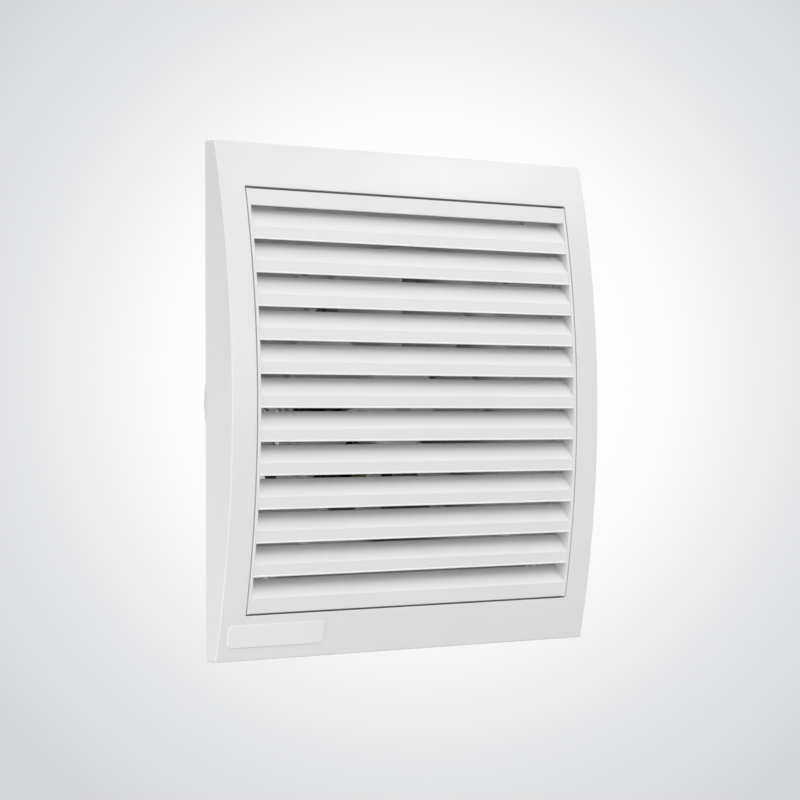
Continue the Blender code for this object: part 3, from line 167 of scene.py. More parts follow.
@dataclass(frozen=True)
class Finish:
    """A finish: the colours it drifts between, its gloss and its surface."""

    name: str
    slot: str
    colour: Triple
    drift: Triple
    roughness: float
    grain: float
    relief: float
    blotch: float
    spread: float = 0.05
    metallic: float = 0.0
    texture: Texture = Texture.MOULDED

    def material(self) -> bpy.types.Material:
        """Makes the material, or finds it where it is made already.

        Returns:
            The finish as a node material on Object coordinates.
        """
        title = self.name + "_finish"
        made = bpy.data.materials.get(title)
        if made:
            return made
        made = bpy.data.materials.new(title)
        made.use_nodes = True
        graph = Graph(made.node_tree)
        surface = self.surface(graph)
        middle = (0.3, 0.7)
        share = graph.ranged(graph.noise(surface, self.blotch, 3.0), middle, (0.0, 1.0))
        colours = {0: share, 6: (*self.colour, 1.0), 7: (*self.drift, 1.0)}
        gloss = (self.roughness - self.spread, self.roughness + self.spread)
        bump = {"Distance": self.relief, "Height": graph.noise(surface, self.grain, 2.0)}
        inputs = {
            "Metallic": self.metallic,
            "Base Color": graph.add("ShaderNodeMix", colours, data_type="RGBA").outputs[2],
            "Roughness": graph.ranged(graph.noise(surface, self.blotch / 3, 4.0), middle, gloss),
            "Normal": graph.add("ShaderNodeBump", bump).outputs["Normal"],
        }
        graph.feed(made.node_tree.nodes["Principled BSDF"], inputs)
        return made

    def surface(self, graph: Graph) -> Socket:
        """The coordinates that the finish's texture runs along.

        Args:
            graph: The material's graph.

        Returns:
            Object coordinates, stretched or turned as the texture asks.
        """
        where = graph.add("ShaderNodeTexCoord").outputs["Object"]
        if self.texture is Texture.TURNED:
            x, y, z = graph.parts(where)
            return graph.vector(X=graph.measure("LENGTH", graph.vector(X=x, Y=z)), Y=y)
        stretch = {"Vector": where, "Scale": self.texture.value}
        return graph.add("ShaderNodeMapping", stretch).outputs[0]


@dataclass
class Pattern:
    """A Geometry Nodes tree with named inputs, whose result becomes a plain mesh."""

    name: str
    values: dict[str, object] = field(default_factory=dict)

    def __post_init__(self) -> None:
        """Makes the empty tree."""
        self.tree = bpy.data.node_groups.new(self.name, "GeometryNodeTree")
        self.tree.interface.new_socket("Geometry", in_out="OUTPUT", socket_type="NodeSocketGeometry")
        self.graph = Graph(self.tree)
        self.source = self.tree.nodes.new("NodeGroupInput")

    def size(self, label: str, kind: str, value: object) -> Socket:
        """Adds a named input.

        Args:
            label: The input's name.
            kind: Float, Int, Vector, Object or Material.
            value: What the input is set to.

        Returns:
            The socket that gives the value inside the tree.
        """
        item = self.tree.interface.new_socket(label, in_out="INPUT", socket_type="NodeSocket" + kind)
        self.values[item.identifier] = value
        return self.source.outputs[label]

    def shape(self, label: str, guide: Piece) -> Socket:
        """The mesh of an object that is a named input. The run removes the object."""
        inputs = {"Object": self.size(label, "Object", guide)}
        return self.graph.add("GeometryNodeObjectInfo", inputs).outputs["Geometry"]

    def copies(self, points: Socket, piece: Socket, turn: object = (0.0, 0.0, 0.0)) -> Socket:
        """Puts a copy of the piece on every point and makes the copies real.

        Args:
            points: The places.
            piece: The geometry that is repeated.
            turn: How each copy is turned.

        Returns:
            The geometry socket.
        """
        inputs = {"Points": points, "Instance": piece, "Rotation": turn}
        spread = self.graph.add("GeometryNodeInstanceOnPoints", inputs).outputs["Instances"]
        return self.graph.add("GeometryNodeRealizeInstances", {0: spread}).outputs["Geometry"]

    def row(self, count: int, start: Triple, step: Triple) -> Socket:
        """A row of points with named inputs for its count, start and step.

        Args:
            count: Number of points.
            start: The first point.
            step: The way from one point to the next.

        Returns:
            The geometry socket.
        """
        inputs = {
            "Count": self.size("Count", "Int", count),
            "Start Location": self.size("Start", "Vector", start),
            "Offset": self.size("Step", "Vector", step),
        }
        return self.graph.add("GeometryNodeMeshLine", inputs).outputs["Mesh"]

    def run(self, result: Socket, finish: Finish) -> Piece:
        """Ends the tree, runs it once and keeps the result as a plain mesh.

        Args:
            result: The last geometry socket.
            finish: The finish that the tree sets.

        Returns:
            A new piece without modifiers.
        """
        coat = self.size("Finish", "Material", finish.material())
        dressed = self.graph.add("GeometryNodeSetMaterial", {0: result, "Material": coat})
        self.graph.add("NodeGroupOutput", {"Geometry": dressed.outputs["Geometry"]})
        host = link_piece(self.name, bpy.data.meshes.new(self.name))
        modifier = host.modifiers.new(self.name, "NODES")
        modifier.node_group = self.tree
        for identifier, value in self.values.items():
            modifier[identifier] = value
        settled(host)
        for guide in self.values.values():
            if isinstance(guide, Piece):
                bpy.data.objects.remove(guide, do_unlink=True)
        return host


def link_piece(name: str, data: bpy.types.ID) -> Piece:
    """Puts a mesh, a curve, a lamp or a camera in the scene as an object.

    Args:
        name: Name of the object.
        data: The mesh or other data.

    Returns:
        The object.
    """
    piece = bpy.data.objects.new(name, data)
    bpy.context.scene.collection.objects.link(piece)
    return piece


def from_shape(name: str, shape: bmesh.types.BMesh, closed: bool = True) -> Piece:
    """Makes a piece of a shape.

    Args:
        name: Name of the piece.
        shape: The shape, which is freed.
        closed: Whether its corners are merged and its faces turned outwards first.

    Returns:
        The piece.
    """
    if closed:
        bmesh.ops.remove_doubles(shape, verts=shape.verts, dist=MERGE)
        bmesh.ops.recalc_face_normals(shape, faces=shape.faces)
    mesh = bpy.data.meshes.new(name)
    shape.to_mesh(mesh)
    shape.free()
    return link_piece(name, mesh)


def plain_mesh(piece: Piece) -> bpy.types.Mesh:
    """The mesh that a piece or a curve has once its modifiers have run.

    Args:
        piece: The piece or curve.

    Returns:
        A new mesh.
    """
    bpy.context.view_layer.update()
    evaluated = piece.evaluated_get(bpy.context.evaluated_depsgraph_get())
    return bpy.data.meshes.new_from_object(evaluated)


def settled(piece: Piece) -> Piece:
    """Makes a piece's modifiers part of its mesh.

    Args:
        piece: The piece.

    Returns:
        The same piece, without modifiers.
    """
    mesh = plain_mesh(piece)
    piece.modifiers.clear()
    piece.data = mesh
    return piece


def mended(piece: Piece, split: bool = False, flat: float = 0.0) -> Piece:
    """Merges corners, takes out slivers and closes the slits that a cut or a round leaves.

    Args:
        piece: The piece.
        split: Whether its faces are made triangles first.
        flat: Faces that meet flatter than this many degrees become one, if it isn't zero.

    Returns:
        The same piece.
    """
    shape = bmesh.new()
    shape.from_mesh(piece.data)
    if split:
        bmesh.ops.triangulate(shape, faces=shape.faces)
    bmesh.ops.remove_doubles(shape, verts=shape.verts, dist=MERGE)
    if flat:
        limit = math.radians(flat)
        bmesh.ops.dissolve_limit(shape, angle_limit=limit, verts=shape.verts, edges=shape.edges)
    bmesh.ops.dissolve_degenerate(shape, edges=shape.edges, dist=MERGE)
    slits = [edge for edge in shape.edges if edge.is_boundary]
    bmesh.ops.holes_fill(shape, edges=slits, sides=0)
    shape.to_mesh(piece.data)
    shape.free()
    return piece


def moved(piece: Piece, change: Matrix) -> Piece:
    """Moves or turns a piece's mesh, so that the object itself stays at the origin.

    Args:
        piece: The piece.
        change: The move or turn.

    Returns:
        The same piece.
    """
    piece.data.transform(change)
    piece.data.update()
    return piece


def joined(name: str, pieces: Sequence[Piece]) -> Piece:
    """Makes one piece of several.

    Args:
        name: Name of the piece.
        pieces: The pieces, which are removed.

    Returns:
        The new piece.
    """
    shape = bmesh.new()
    for piece in pieces:
        shape.from_mesh(piece.data)
        bpy.data.objects.remove(piece, do_unlink=True)
    return from_shape(name, shape, closed=False)


def combined(piece: Piece, tool: Piece, action: Action) -> Piece:
    """Adds a solid to a piece or cuts it out of the piece.

    Args:
        piece: The piece.
        tool: The solid, which is removed.
        action: Whether it is added or cut out.

    Returns:
        The same piece.
    """
    boolean = piece.modifiers.new(tool.name, "BOOLEAN")
    boolean.operation = action.value
    boolean.solver = "EXACT"
    boolean.object = tool
    settled(piece)
    bpy.data.objects.remove(tool, do_unlink=True)
    return mended(piece)


def polished(piece: Piece, angle: float = 35.0) -> Piece:
    """Shades a piece smooth, with flat faces left flat.

    Args:
        piece: The piece.
        angle: Edges sharper than this many degrees stay sharp.

    Returns:
        The same piece.
    """
    piece.data.shade_smooth()
    piece.data.set_sharp_from_angle(angle=math.radians(angle))
    weighting = piece.modifiers.new("face_weight", "WEIGHTED_NORMAL")
    weighting.keep_sharp = True
    return settled(piece)


def node_copy(node: str) -> Piece:
    """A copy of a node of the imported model, with its flat faces whole again."""
    copy = link_piece(node + "_copy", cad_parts[node].data.copy())
    return mended(copy, flat=1.0)


def softened(node: str, width: float) -> Piece:
    """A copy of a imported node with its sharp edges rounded.

    Args:
        node: Name of the node.
        width: How far the rounds reach.

    Returns:
        The copy.
    """
    copy = node_copy(node)
    bevel = copy.modifiers.new("rounding", "BEVEL")
    bevel.width = width
    bevel.segments = 2
    bevel.limit_method = "ANGLE"
    bevel.angle_limit = math.radians(32)
    bevel.use_clamp_overlap = True
    return polished(mended(settled(copy)))


def loft(name: str, rings: Sequence[Sequence[Vector]], endless: bool = False) -> Piece:
    """A skin over closed rings that all have the same number of points.

    Args:
        name: Name of the piece.
        rings: The rings in order.
        endless: Whether the last ring joins the first; otherwise both ends are capped.

    Returns:
        The piece.
    """
    shape = bmesh.new()
    corners = [[shape.verts.new(point) for point in ring] for ring in rings]
    following = corners[1:] + corners[:1] if endless else corners[1:]
    for lower, upper in zip(corners, following):
        for i in range(len(lower)):
            j = (i + 1) % len(lower)
            shape.faces.new((lower[i], lower[j], upper[j], upper[i]))
    if not endless:
        shape.faces.new(corners[0])
        shape.faces.new(reversed(corners[-1]))
    return from_shape(name, shape)


def lathe(
    name: str, profile: Sequence[Pair], sides: int, centre: Pair = (0.0, 0.0), endless: bool = False
) -> Piece:
    """A profile turned about an axis along Y.

    Args:
        name: Name of the piece.
        profile: Points as radius and Y.
        sides: Number of sides.
        centre: X and Z of the axis.
        endless: Whether the profile is a closed outline, as of a ring.

    Returns:
        The piece.
    """
    rings = []
    for radius, along in profile:
        flat = circle(max(radius, MERGE / 10), sides, centre)
        rings.append([Vector((x, along, z)) for x, z in flat])
    return loft(name, rings, endless)


def plate(
    name: str, loops: Sequence[Sequence[Pair]], facing: Facing, start: float, end: float,
    edge: float = 0.0,
) -> Piece:
    """A flat outline with its holes, given a thickness and rounded rims.

    Args:
        name: Name of the piece.
        loops: The outline and the outlines of its holes.
        facing: The way that its thickness runs.
        start: Where the thickness starts.
        end: Where it ends.
        edge: Radius of the rounded rims, or zero.

    Returns:
        The piece.
    """
    curve = bpy.data.curves.new(name, "CURVE")
    curve.dimensions = "2D"
    curve.fill_mode = "BOTH"
    curve.extrude = abs(end - start) / 2 - edge
    curve.bevel_depth = edge
    curve.bevel_resolution = 1
    curve.offset = -edge
    for loop in loops:
        spline = curve.splines.new("POLY")
        spline.points.add(len(loop) - 1)
        for point, (x, y) in zip(spline.points, loop):
            point.co = (x, y, 0, 1)
        spline.use_cyclic_u = True
    guide = link_piece(name, curve)
    mesh = plain_mesh(guide)
    bpy.data.objects.remove(guide, do_unlink=True)
    mesh.transform(facing.at((start + end) / 2))
    shape = bmesh.new()
    shape.from_mesh(mesh)
    bmesh.ops.dissolve_degenerate(shape, dist=MERGE / 4, edges=shape.edges)
    return from_shape(name, shape)


def tube(name: str, route: Sequence[Vector], radius: float, sides: int = 16) -> Piece:
    """A round tube with rounded ends along a route.

    Args:
        name: Name of the piece.
        route: Points on its centre line.
        radius: Its radius.
        sides: Number of sides.

    Returns:
        The piece.
    """
    last = len(route) - 1
    across = Vector((0, 0, 1))
    rings = []
    for i, point in enumerate(route):
        ahead = (route[min(i + 1, last)] - route[max(i - 1, 0)]).normalized()
        across = (across - ahead * across.dot(ahead)).normalized()
        other = ahead.cross(across)
        wide = 0.7 if i in (0, last) else 1.0
        rings.append([point + across * x + other * y for x, y in circle(radius * wide, sides)])
    return loft(name, rings)


def smooth_route(corners: Sequence[Vector], steps: int) -> list[Vector]:
    """Points of a Catmull-Rom curve through the corners.

    Args:
        corners: Points that the curve passes.
        steps: Steps from one corner to the next.

    Returns:
        The points.
    """
    ends = [2 * corners[0] - corners[1], *corners, 2 * corners[-1] - corners[-2]]
    route = []
    for a, b, c, d in zip(ends, ends[1:], ends[2:], ends[3:]):
        for step in range(steps):
            t = step / steps
            bend = (2 * a - 5 * b + 4 * c - d) * t**2 + (3 * b - a - 3 * c + d) * t**3
            route.append(0.5 * (2 * b + (c - a) * t + bend))
    return [*route, corners[-1]]


def circle(radius: float, sides: int, centre: Pair = (0.0, 0.0)) -> list[Pair]:
    """Points of a circle in a plane.

    Args:
        radius: Its radius.
        sides: Number of points.
        centre: Its centre.

    Returns:
        The points.
    """
    x, y = centre
    angles = [2 * math.pi / sides * i for i in range(sides)]
    return [(x + radius * math.cos(angle), y + radius * math.sin(angle)) for angle in angles]


def quarter(steps: int) -> list[Pair]:
    """Sine and cosine at even steps from zero to a right angle."""
    angles = [step / steps * math.pi / 2 for step in range(steps + 1)]
    return [(math.sin(angle), math.cos(angle)) for angle in angles]


def fours(x: float, y: float) -> list[Pair]:
    """The four places that lie evenly round the middle."""
    return [(a, b) for a in (-x, x) for b in (-y, y)]


def rectangle(half_x: float, half_y: float, centre: Pair = (0.0, 0.0)) -> list[Pair]:
    """Corners of a rectangle in a plane."""
    x, y = centre
    return [(x + a * half_x, y + b * half_y) for a, b in ((-1, -1), (1, -1), (1, 1), (-1, 1))]


def rounded(corners: Sequence[Pair], radius: float, steps: int = 4) -> list[Pair]:
    """Rounds every corner of a closed outline.

    Args:
        corners: The outline.
        radius: Radius of the rounds, smaller where a side is too short for it.
        steps: Number of steps round a corner.

    Returns:
        The points of the rounded outline.
    """
    points = []
    for before, here, after in zip([corners[-1], *corners], corners, [*corners[1:], corners[0]]):
        corner = Vector(here)
        back = Vector(before) - corner
        ahead = Vector(after) - corner
        half = back.angle(ahead) / 2
        cut = min(radius / math.tan(half), back.length * 0.49, ahead.length * 0.49)
        reach = cut / math.cos(half)
        centre = corner + (back.normalized() + ahead.normalized()).normalized() * reach
        start = corner + back.normalized() * cut - centre
        end = corner + ahead.normalized() * cut - centre
        swing = start.angle_signed(end)
        for step in range(steps + 1):
            turned = start.copy()
            turned.rotate(Matrix.Rotation(-swing * step / steps, 2))
            points.append(tuple(centre + turned))
    return points


def contour(
    half_x: float, half_z: float, corner: float, depth: Depth, centre: Pair = (0.0, 0.0)
) -> list[Vector]:
    """A rounded rectangle seen from the room, with the same number of points at any size.

    Args:
        half_x: Half its width.
        half_z: Half its height.
        corner: Radius of its corners.
        depth: Y at a height.
        centre: X and Z of its middle.

    Returns:
        The points, as a ring for a loft.
    """
    arc_steps, upright_steps, level_steps = 6, 30, 6
    flat = []
    signs = ((1, 1), (-1, 1), (-1, -1), (1, -1))
    middles = [Vector((x * (half_x - corner), z * (half_z - corner))) for x, z in signs]
    for turn, middle in enumerate(middles):
        for step in range(arc_steps + 1):
            angle = (turn + step / arc_steps) * math.pi / 2
            reach = corner * Vector((math.cos(angle), math.sin(angle)))
            flat.append(middle + reach)
        end = middles[(turn + 1) % 4] + reach
        steps = level_steps if turn % 2 == 0 else upright_steps
        flat += [(middle + reach).lerp(end, step / steps) for step in range(1, steps)]
    places = [(x + centre[0], z + centre[1]) for x, z in flat]
    return [Vector((x, depth(z), z)) for x, z in places]


def cross_recess(screw: Piece, face: float, ahead: int, reach: float, depth: float) -> Piece:
    """Cuts a cross recess in a screw's head.

    Args:
        screw: The screw, on the Y axis.
        face: Y of the head's face.
        ahead: The way that the head looks along Y.
        reach: How far the cross reaches.
        depth: How deep it is.

    Returns:
        The same screw.
    """
    half = reach * 0.16
    outline = []
    for turn in range(4):
        spin = Matrix.Rotation(turn * RIGHT_ANGLE, 2)
        outline += [tuple(spin @ Vector(spot)) for spot in ((half, half), (half, reach), (-half, reach))]
    ends = sorted((face + 2 * HAIR * ahead, face - depth * ahead))
    return combined(screw, plate("cross", [outline], Facing.Y, *ends), Action.CUT)


def screw_family(name: str, screw: Piece, places: Sequence[Pair], seed: int, seat: float = 0.0) -> Piece:
    """Copies of a screw on their places, each turned by chance.

    Args:
        name: Name of the family.
        screw: The screw on the Y axis, which is removed.
        places: X and Z of each.
        seed: Seed of the chance.
        seat: Y that the screw's own zero goes to.

    Returns:
        One piece with all of them.
    """
    guide = bpy.data.meshes.new(name + "_places")
    guide.from_pydata([(x, seat, z) for x, z in places], [], [])
    pattern = Pattern(name)
    span = {2: 0.0, 3: RIGHT_ANGLE, "Seed": pattern.size("Seed", "Int", seed)}
    chance = pattern.graph.add("FunctionNodeRandomValue", span, data_type="FLOAT").outputs[1]
    where = pattern.shape("Places", link_piece(name + "_places", guide))
    shape = pattern.shape("Screw", polished(screw, 30.0))
    return pattern.run(pattern.copies(where, shape, pattern.graph.vector(Y=chance)), ZINC)


def turned_ring(outer: float, bore: float, front: float, back: float) -> Piece:
    """A ring about the shaft with broken edges.

    Args:
        outer: Its radius.
        bore: Radius of its hole.
        front: Y of its front.
        back: Y of its back.

    Returns:
        The ring.
    """
    edge = min(0.0003, (back - front) / 4)
    profile = [
        (bore, back), (outer - edge, back), (outer, back - edge), (outer, front + edge),
        (outer - edge, front), (bore, front),
    ]
    return polished(lathe("ring", profile, 48, endless=True))


def hexagon_nut(front: float, back: float, x: float = 0.0) -> Piece:
    """A hexagon nut about an axis along Y, with chamfered corners.

    Args:
        front: Y of its front.
        back: Y of its back.
        x: X of its axis.

    Returns:
        The nut.
    """
    corners = rounded(circle(NUT_FLATS / math.sqrt(3), 6, (x, 0.0)), 0.0003, 2)
    return plate("nut", [corners, circle(NUT_BORE, 24, (x, 0.0))], Facing.Y, front, back, 0.00035)


def numbered(stem: str, count: int) -> list[str]:
    """Names of nodes that differ in their number alone."""
    return [f"{stem}_{number}" for number in range(1, count + 1)]


def dress(piece: Piece, name: str, finish: Finish, *nodes: str, body: str = "housing") -> None:
    """Names a finished piece, gives it its finish and hangs it on its body.

    Args:
        piece: The piece.
        name: The name that it is known by.
        finish: Its finish.
        nodes: The nodes that it stands for.
        body: The body that it moves with.
    """
    piece.name = name
    piece.data.name = name
    piece.data.materials.clear()
    piece.data.materials.append(finish.material())
    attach(piece, body)
    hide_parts(*nodes)
    LOG.info("%s: %d faces, %s, on %s", name, len(piece.data.polygons), finish.name, body)


# Name, slot, colour, drift, roughness, grain, relief, blotch, spread, metallic, texture
WHITE = Finish(
    "white_plastic", "white_plastic", (0.80, 0.80, 0.80), (0.785, 0.785, 0.787), 0.25,
    0.0007, 3e-06, 0.04, 0.02,
)
INSERT_WHITE = Finish(
    "insert_plastic", "white_plastic", (0.82, 0.82, 0.82), (0.805, 0.805, 0.805), 0.42,
    0.0006, 6e-06, 0.035,
)
LABEL = Finish(
    "label_film", "label_film", (0.86, 0.86, 0.86), (0.84, 0.84, 0.84), 0.34,
    0.0012, 3e-06, 0.02, 0.03,
)
HOUSING = Finish(
    "housing_plastic", "housing_plastic", (0.72, 0.73, 0.74), (0.69, 0.70, 0.71), 0.5,
    0.0008, 1.2e-05, 0.045,
)
FLAP = Finish(
    "flap_plastic", "flap_plastic", (0.78, 0.79, 0.80), (0.75, 0.76, 0.77), 0.48,
    0.0007, 9e-06, 0.03,
)
IMPELLER = Finish(
    "impeller_plastic", "impeller_plastic", (0.76, 0.76, 0.75), (0.72, 0.72, 0.71), 0.48,
    0.0006, 1e-05, 0.025,
)
ZINC = Finish(
    "zinc_plate", "zinc_steel", (0.62, 0.62, 0.60), (0.55, 0.56, 0.55), 0.32,
    0.0003, 4e-06, 0.004, 0.08, 1.0,
)
SHAFT_STEEL = Finish(
    "ground_steel", "zinc_steel", (0.64, 0.64, 0.63), (0.57, 0.57, 0.57), 0.24,
    0.0002, 3e-06, 0.003, 0.06, 1.0, Texture.TURNED,
)
IRON = Finish(
    "lamination_iron", "lamination_iron", (0.28, 0.29, 0.31), (0.20, 0.19, 0.19), 0.48,
    0.0005, 2e-05, 0.0016, 0.1, 0.9, Texture.STACKED,
)
ALLOY = Finish(
    "die_cast_alloy", "die_cast_alloy", (0.58, 0.59, 0.60), (0.50, 0.51, 0.52), 0.44,
    0.0011, 3e-05, 0.006, 0.1, 1.0,
)
BRONZE = Finish(
    "sintered_bronze", "brass", (0.55, 0.38, 0.20), (0.46, 0.31, 0.16), 0.46,
    0.00025, 1e-05, 0.003, 0.08, 1.0,
)
BRASS = Finish(
    "turned_brass", "brass", (0.60, 0.44, 0.22), (0.52, 0.37, 0.18), 0.3,
    0.0002, 4e-06, 0.003, 0.06, 1.0, Texture.TURNED,
)
COPPER = Finish(
    "copper_bar", "copper", (0.72, 0.35, 0.20), (0.58, 0.27, 0.15), 0.34,
    0.0004, 6e-06, 0.004, 0.08, 1.0,
)
TAPE = Finish(
    "coil_tape", "coil_tape", (0.75, 0.60, 0.16), (0.68, 0.52, 0.12), 0.38,
    0.0009, 3e-05, 0.006, 0.06, 0.0, Texture.WOUND,
)
BOBBIN = Finish(
    "bobbin_plastic", "bobbin_plastic", (0.05, 0.05, 0.055), (0.04, 0.04, 0.044), 0.42,
    0.0006, 8e-06, 0.01,
)
NYLON = Finish("nylon", "nylon", (0.80, 0.78, 0.70), (0.76, 0.73, 0.64), 0.46, 0.0005, 6e-06, 0.008)
TERMINAL = Finish(
    "terminal_plastic", "terminal_plastic", (0.82, 0.80, 0.74), (0.78, 0.76, 0.69), 0.46,
    0.0006, 8e-06, 0.01,
)
RUBBER = Finish(
    "black_rubber", "black_rubber", (0.03, 0.03, 0.03), (0.045, 0.044, 0.043), 0.66,
    0.0007, 2e-05, 0.008, 0.08,
)
BROWN = Finish(
    "brown_sleeve", "brown_sleeve", (0.20, 0.08, 0.03), (0.17, 0.065, 0.025), 0.4,
    0.0008, 8e-06, 0.02,
)
BLUE = Finish(
    "blue_sleeve", "blue_sleeve", (0.04, 0.14, 0.42), (0.03, 0.115, 0.36), 0.4,
    0.0008, 8e-06, 0.02,
)


@dataclass(frozen=True)
class Bow:
    """The arc of the front from top to bottom."""

    half_height: float = 0.125
    edge_depth: float = 0.0069
    rise: float = 0.01327

    @property
    def radius(self) -> float:
        """Radius of the arc."""
        return (self.half_height**2 + self.rise**2) / (2 * self.rise)

    @property
    def centre(self) -> float:
        """Y of the arc's centre."""
        return self.radius - self.edge_depth - self.rise

    def depth(self, height: float, inset: float = 0.0) -> float:
        """Y of the surface at a height, or of one that lies behind it by the inset."""
        return self.centre - math.sqrt((self.radius - inset) ** 2 - height**2)


@dataclass
class FrontCover:
    """The square bowed cover, its window, its screw tabs and the blank label plate."""

    bow: Bow = field(default_factory=Bow)
    half: float = 0.125
    wall: float = 0.0022
    edge_round: float = 0.0006
    corner_round: float = 0.0013
    window_x: float = 0.1096
    window_z: float = 0.1032
    window_round: float = 0.0004
    window_corner: float = 0.0007
    collar: float = 0.0016
    ledge: float = 0.004
    ledge_front: float = -0.0049
    ledge_back: float = -0.0028
    screw_x: float = 0.092
    screw_z: float = 0.088
    tab_reach: float = 0.006
    tab_corner: float = 0.003
    slot_z: float = 0.045
    slot_half: float = 0.0057
    slot_corner: float = 0.0006
    label_centre: Pair = (-0.08925, -0.113)
    label_half: Pair = (0.03025, 0.0055)
    label_proud: float = 0.00042
    label_corner: float = 0.0026
    label_corner_least: float = 0.0003

    def rings(self) -> list[list[Vector]]:
        """Rings from the window's wall over the front and the sides to the ledge.

        Returns:
            The rings in order.
        """
        wx, wz, half = self.window_x, self.window_z, self.half
        turn, corner = self.window_round, self.window_corner
        rings = [self.level(wx, wz, corner, self.ledge_front)]
        for sine, cosine in quarter(3):
            out, back = turn * (1 - cosine), turn * (1 - sine)
            rings.append(self.follow(wx + out, wz + out, corner + out, back))
        outer = half - self.edge_round
        for step in range(1, 6):
            x, z = (edge + turn + (outer - edge - turn) * step / 6 for edge in (wx, wz))
            rings.append(self.follow(x, z, corner + turn))
        for sine, cosine in quarter(6):
            reach = outer + self.edge_round * sine
            corner = max(reach - outer, turn) + self.corner_round - self.edge_round
            rings.append(self.follow(reach, reach, corner, self.edge_round * (1 - cosine)))
        inner = half - self.wall
        rim_x, rim_z = wx + self.collar, wz + self.collar
        ledge_x, ledge_z = wx - self.ledge, wz - self.ledge
        return rings + [
            self.level(half, half, self.corner_round, 0.0),
            self.level(inner, inner, turn, 0.0),
            self.follow(inner, inner, turn, inset=self.wall),
            self.follow(rim_x, rim_z, turn, inset=self.wall),
            self.level(rim_x, rim_z, turn, self.ledge_back),
            self.level(ledge_x, ledge_z, turn, self.ledge_back),
            self.level(ledge_x, ledge_z, turn, self.ledge_front),
        ]

    def level(self, half_x: float, half_z: float, corner: float, depth: float) -> list[Vector]:
        """A flat ring at one depth."""
        return contour(half_x, half_z, corner, lambda height: depth)

    def follow(
        self, half_x: float, half_z: float, corner: float, back: float = 0.0,
        inset: float = 0.0, centre: Pair = (0.0, 0.0),
    ) -> list[Vector]:
        """A ring that follows the bow, or an arc inside it, set back by a distance."""
        bow = self.bow
        return contour(half_x, half_z, corner, lambda height: bow.depth(height, inset) + back, centre)

    def shell(self) -> Piece:
        """The frame with its tabs added and its holes cut.

        Returns:
            The cover.
        """
        cover = loft("front_cover", self.rings(), endless=True)
        tabs, holes = [], []
        front, back = self.ledge_front, self.ledge_back
        middle, thickness = (front + back) / 2, back - front
        far_x, far_z = self.window_x + self.collar / 2, self.window_z + self.collar / 2
        near_x, near_z = self.screw_x - self.tab_reach, self.screw_z - self.tab_reach
        for side, level in fours(1, 1):
            centre = (side * (far_x + near_x) / 2, level * (far_z + near_z) / 2)
            tab = rectangle((far_x - near_x) / 2, (far_z - near_z) / 2, centre)
            tabs.append(plate("tab", [rounded(tab, self.tab_corner)], Facing.Y, front, back))
            holes.append(self.sink((side * self.screw_x, level * self.screw_z)))
            centre = (side * (self.window_x - self.ledge / 2), level * self.slot_z)
            slot = rectangle(self.ledge / 2 + self.collar / 4, self.slot_half, centre)
            loops = [rounded(slot, self.slot_corner)]
            holes.append(plate("slot", loops, Facing.Y, middle - thickness, middle + thickness))
        combined(cover, joined("tabs", tabs), Action.ADD)
        return polished(combined(cover, joined("holes", holes), Action.CUT))

    def sink(self, centre: Pair) -> Piece:
        """The cutter of a countersunk screw hole.

        Args:
            centre: X and Z of the hole.

        Returns:
            The cutter.
        """
        top = self.ledge_front
        profile = [
            (0.0, top - 0.001), (0.0046, top - 0.001), (0.0036, top), (0.0018, top + 0.0018),
            (0.0018, 0.001), (0.0, 0.001),
        ]
        return lathe("sink", profile, 32, centre)

    def label(self) -> Piece:
        """The blank plate, a little proud of the cover, with soft edges.

        Returns:
            The plate.
        """
        half_x, half_z = self.label_half
        top, soft = self.label_proud, self.label_proud * 0.5
        path = [
            (0.0, -0.0002), (0.0, top - soft), (soft * 0.3, top - soft * 0.3), (soft, top),
            (soft * 3, top), (half_z * 0.6, top),
        ]
        rings = []
        for inset, proud in path:
            corner = max(self.label_corner - inset, self.label_corner_least)
            x, z = half_x - inset, half_z - inset
            rings.append(self.follow(x, z, corner, inset=-proud, centre=self.label_centre))
        return polished(loft("blank_label", rings))

    def screws(self) -> Piece:
        """The four countersunk cover screws.

        Returns:
            One piece with all four.
        """
        top = self.ledge_front
        profile = [
            (0.0, -0.0005), (0.0011, -0.0005), (0.0015, -0.0011), (0.0015, top + 0.0015),
            (0.00292, top + 0.00012), (0.0028, top + 0.00004), (0.0, top + 0.00002),
        ]
        screw = cross_recess(lathe("cover_screw", profile, 32), top, -1, 0.0017, 0.0011)
        return screw_family("cover_screws", screw, fours(self.screw_x, self.screw_z), 3)

    def build(self) -> None:
        """Builds and dresses the cover, its label and its screws."""
        dress(self.shell(), "front_cover_moulding", WHITE, "front_cover")
        dress(self.label(), "blank_label_plate", LABEL, "blank_label")
        dress(self.screws(), "cover_screws", ZINC, *numbered("cover_screw", 4))


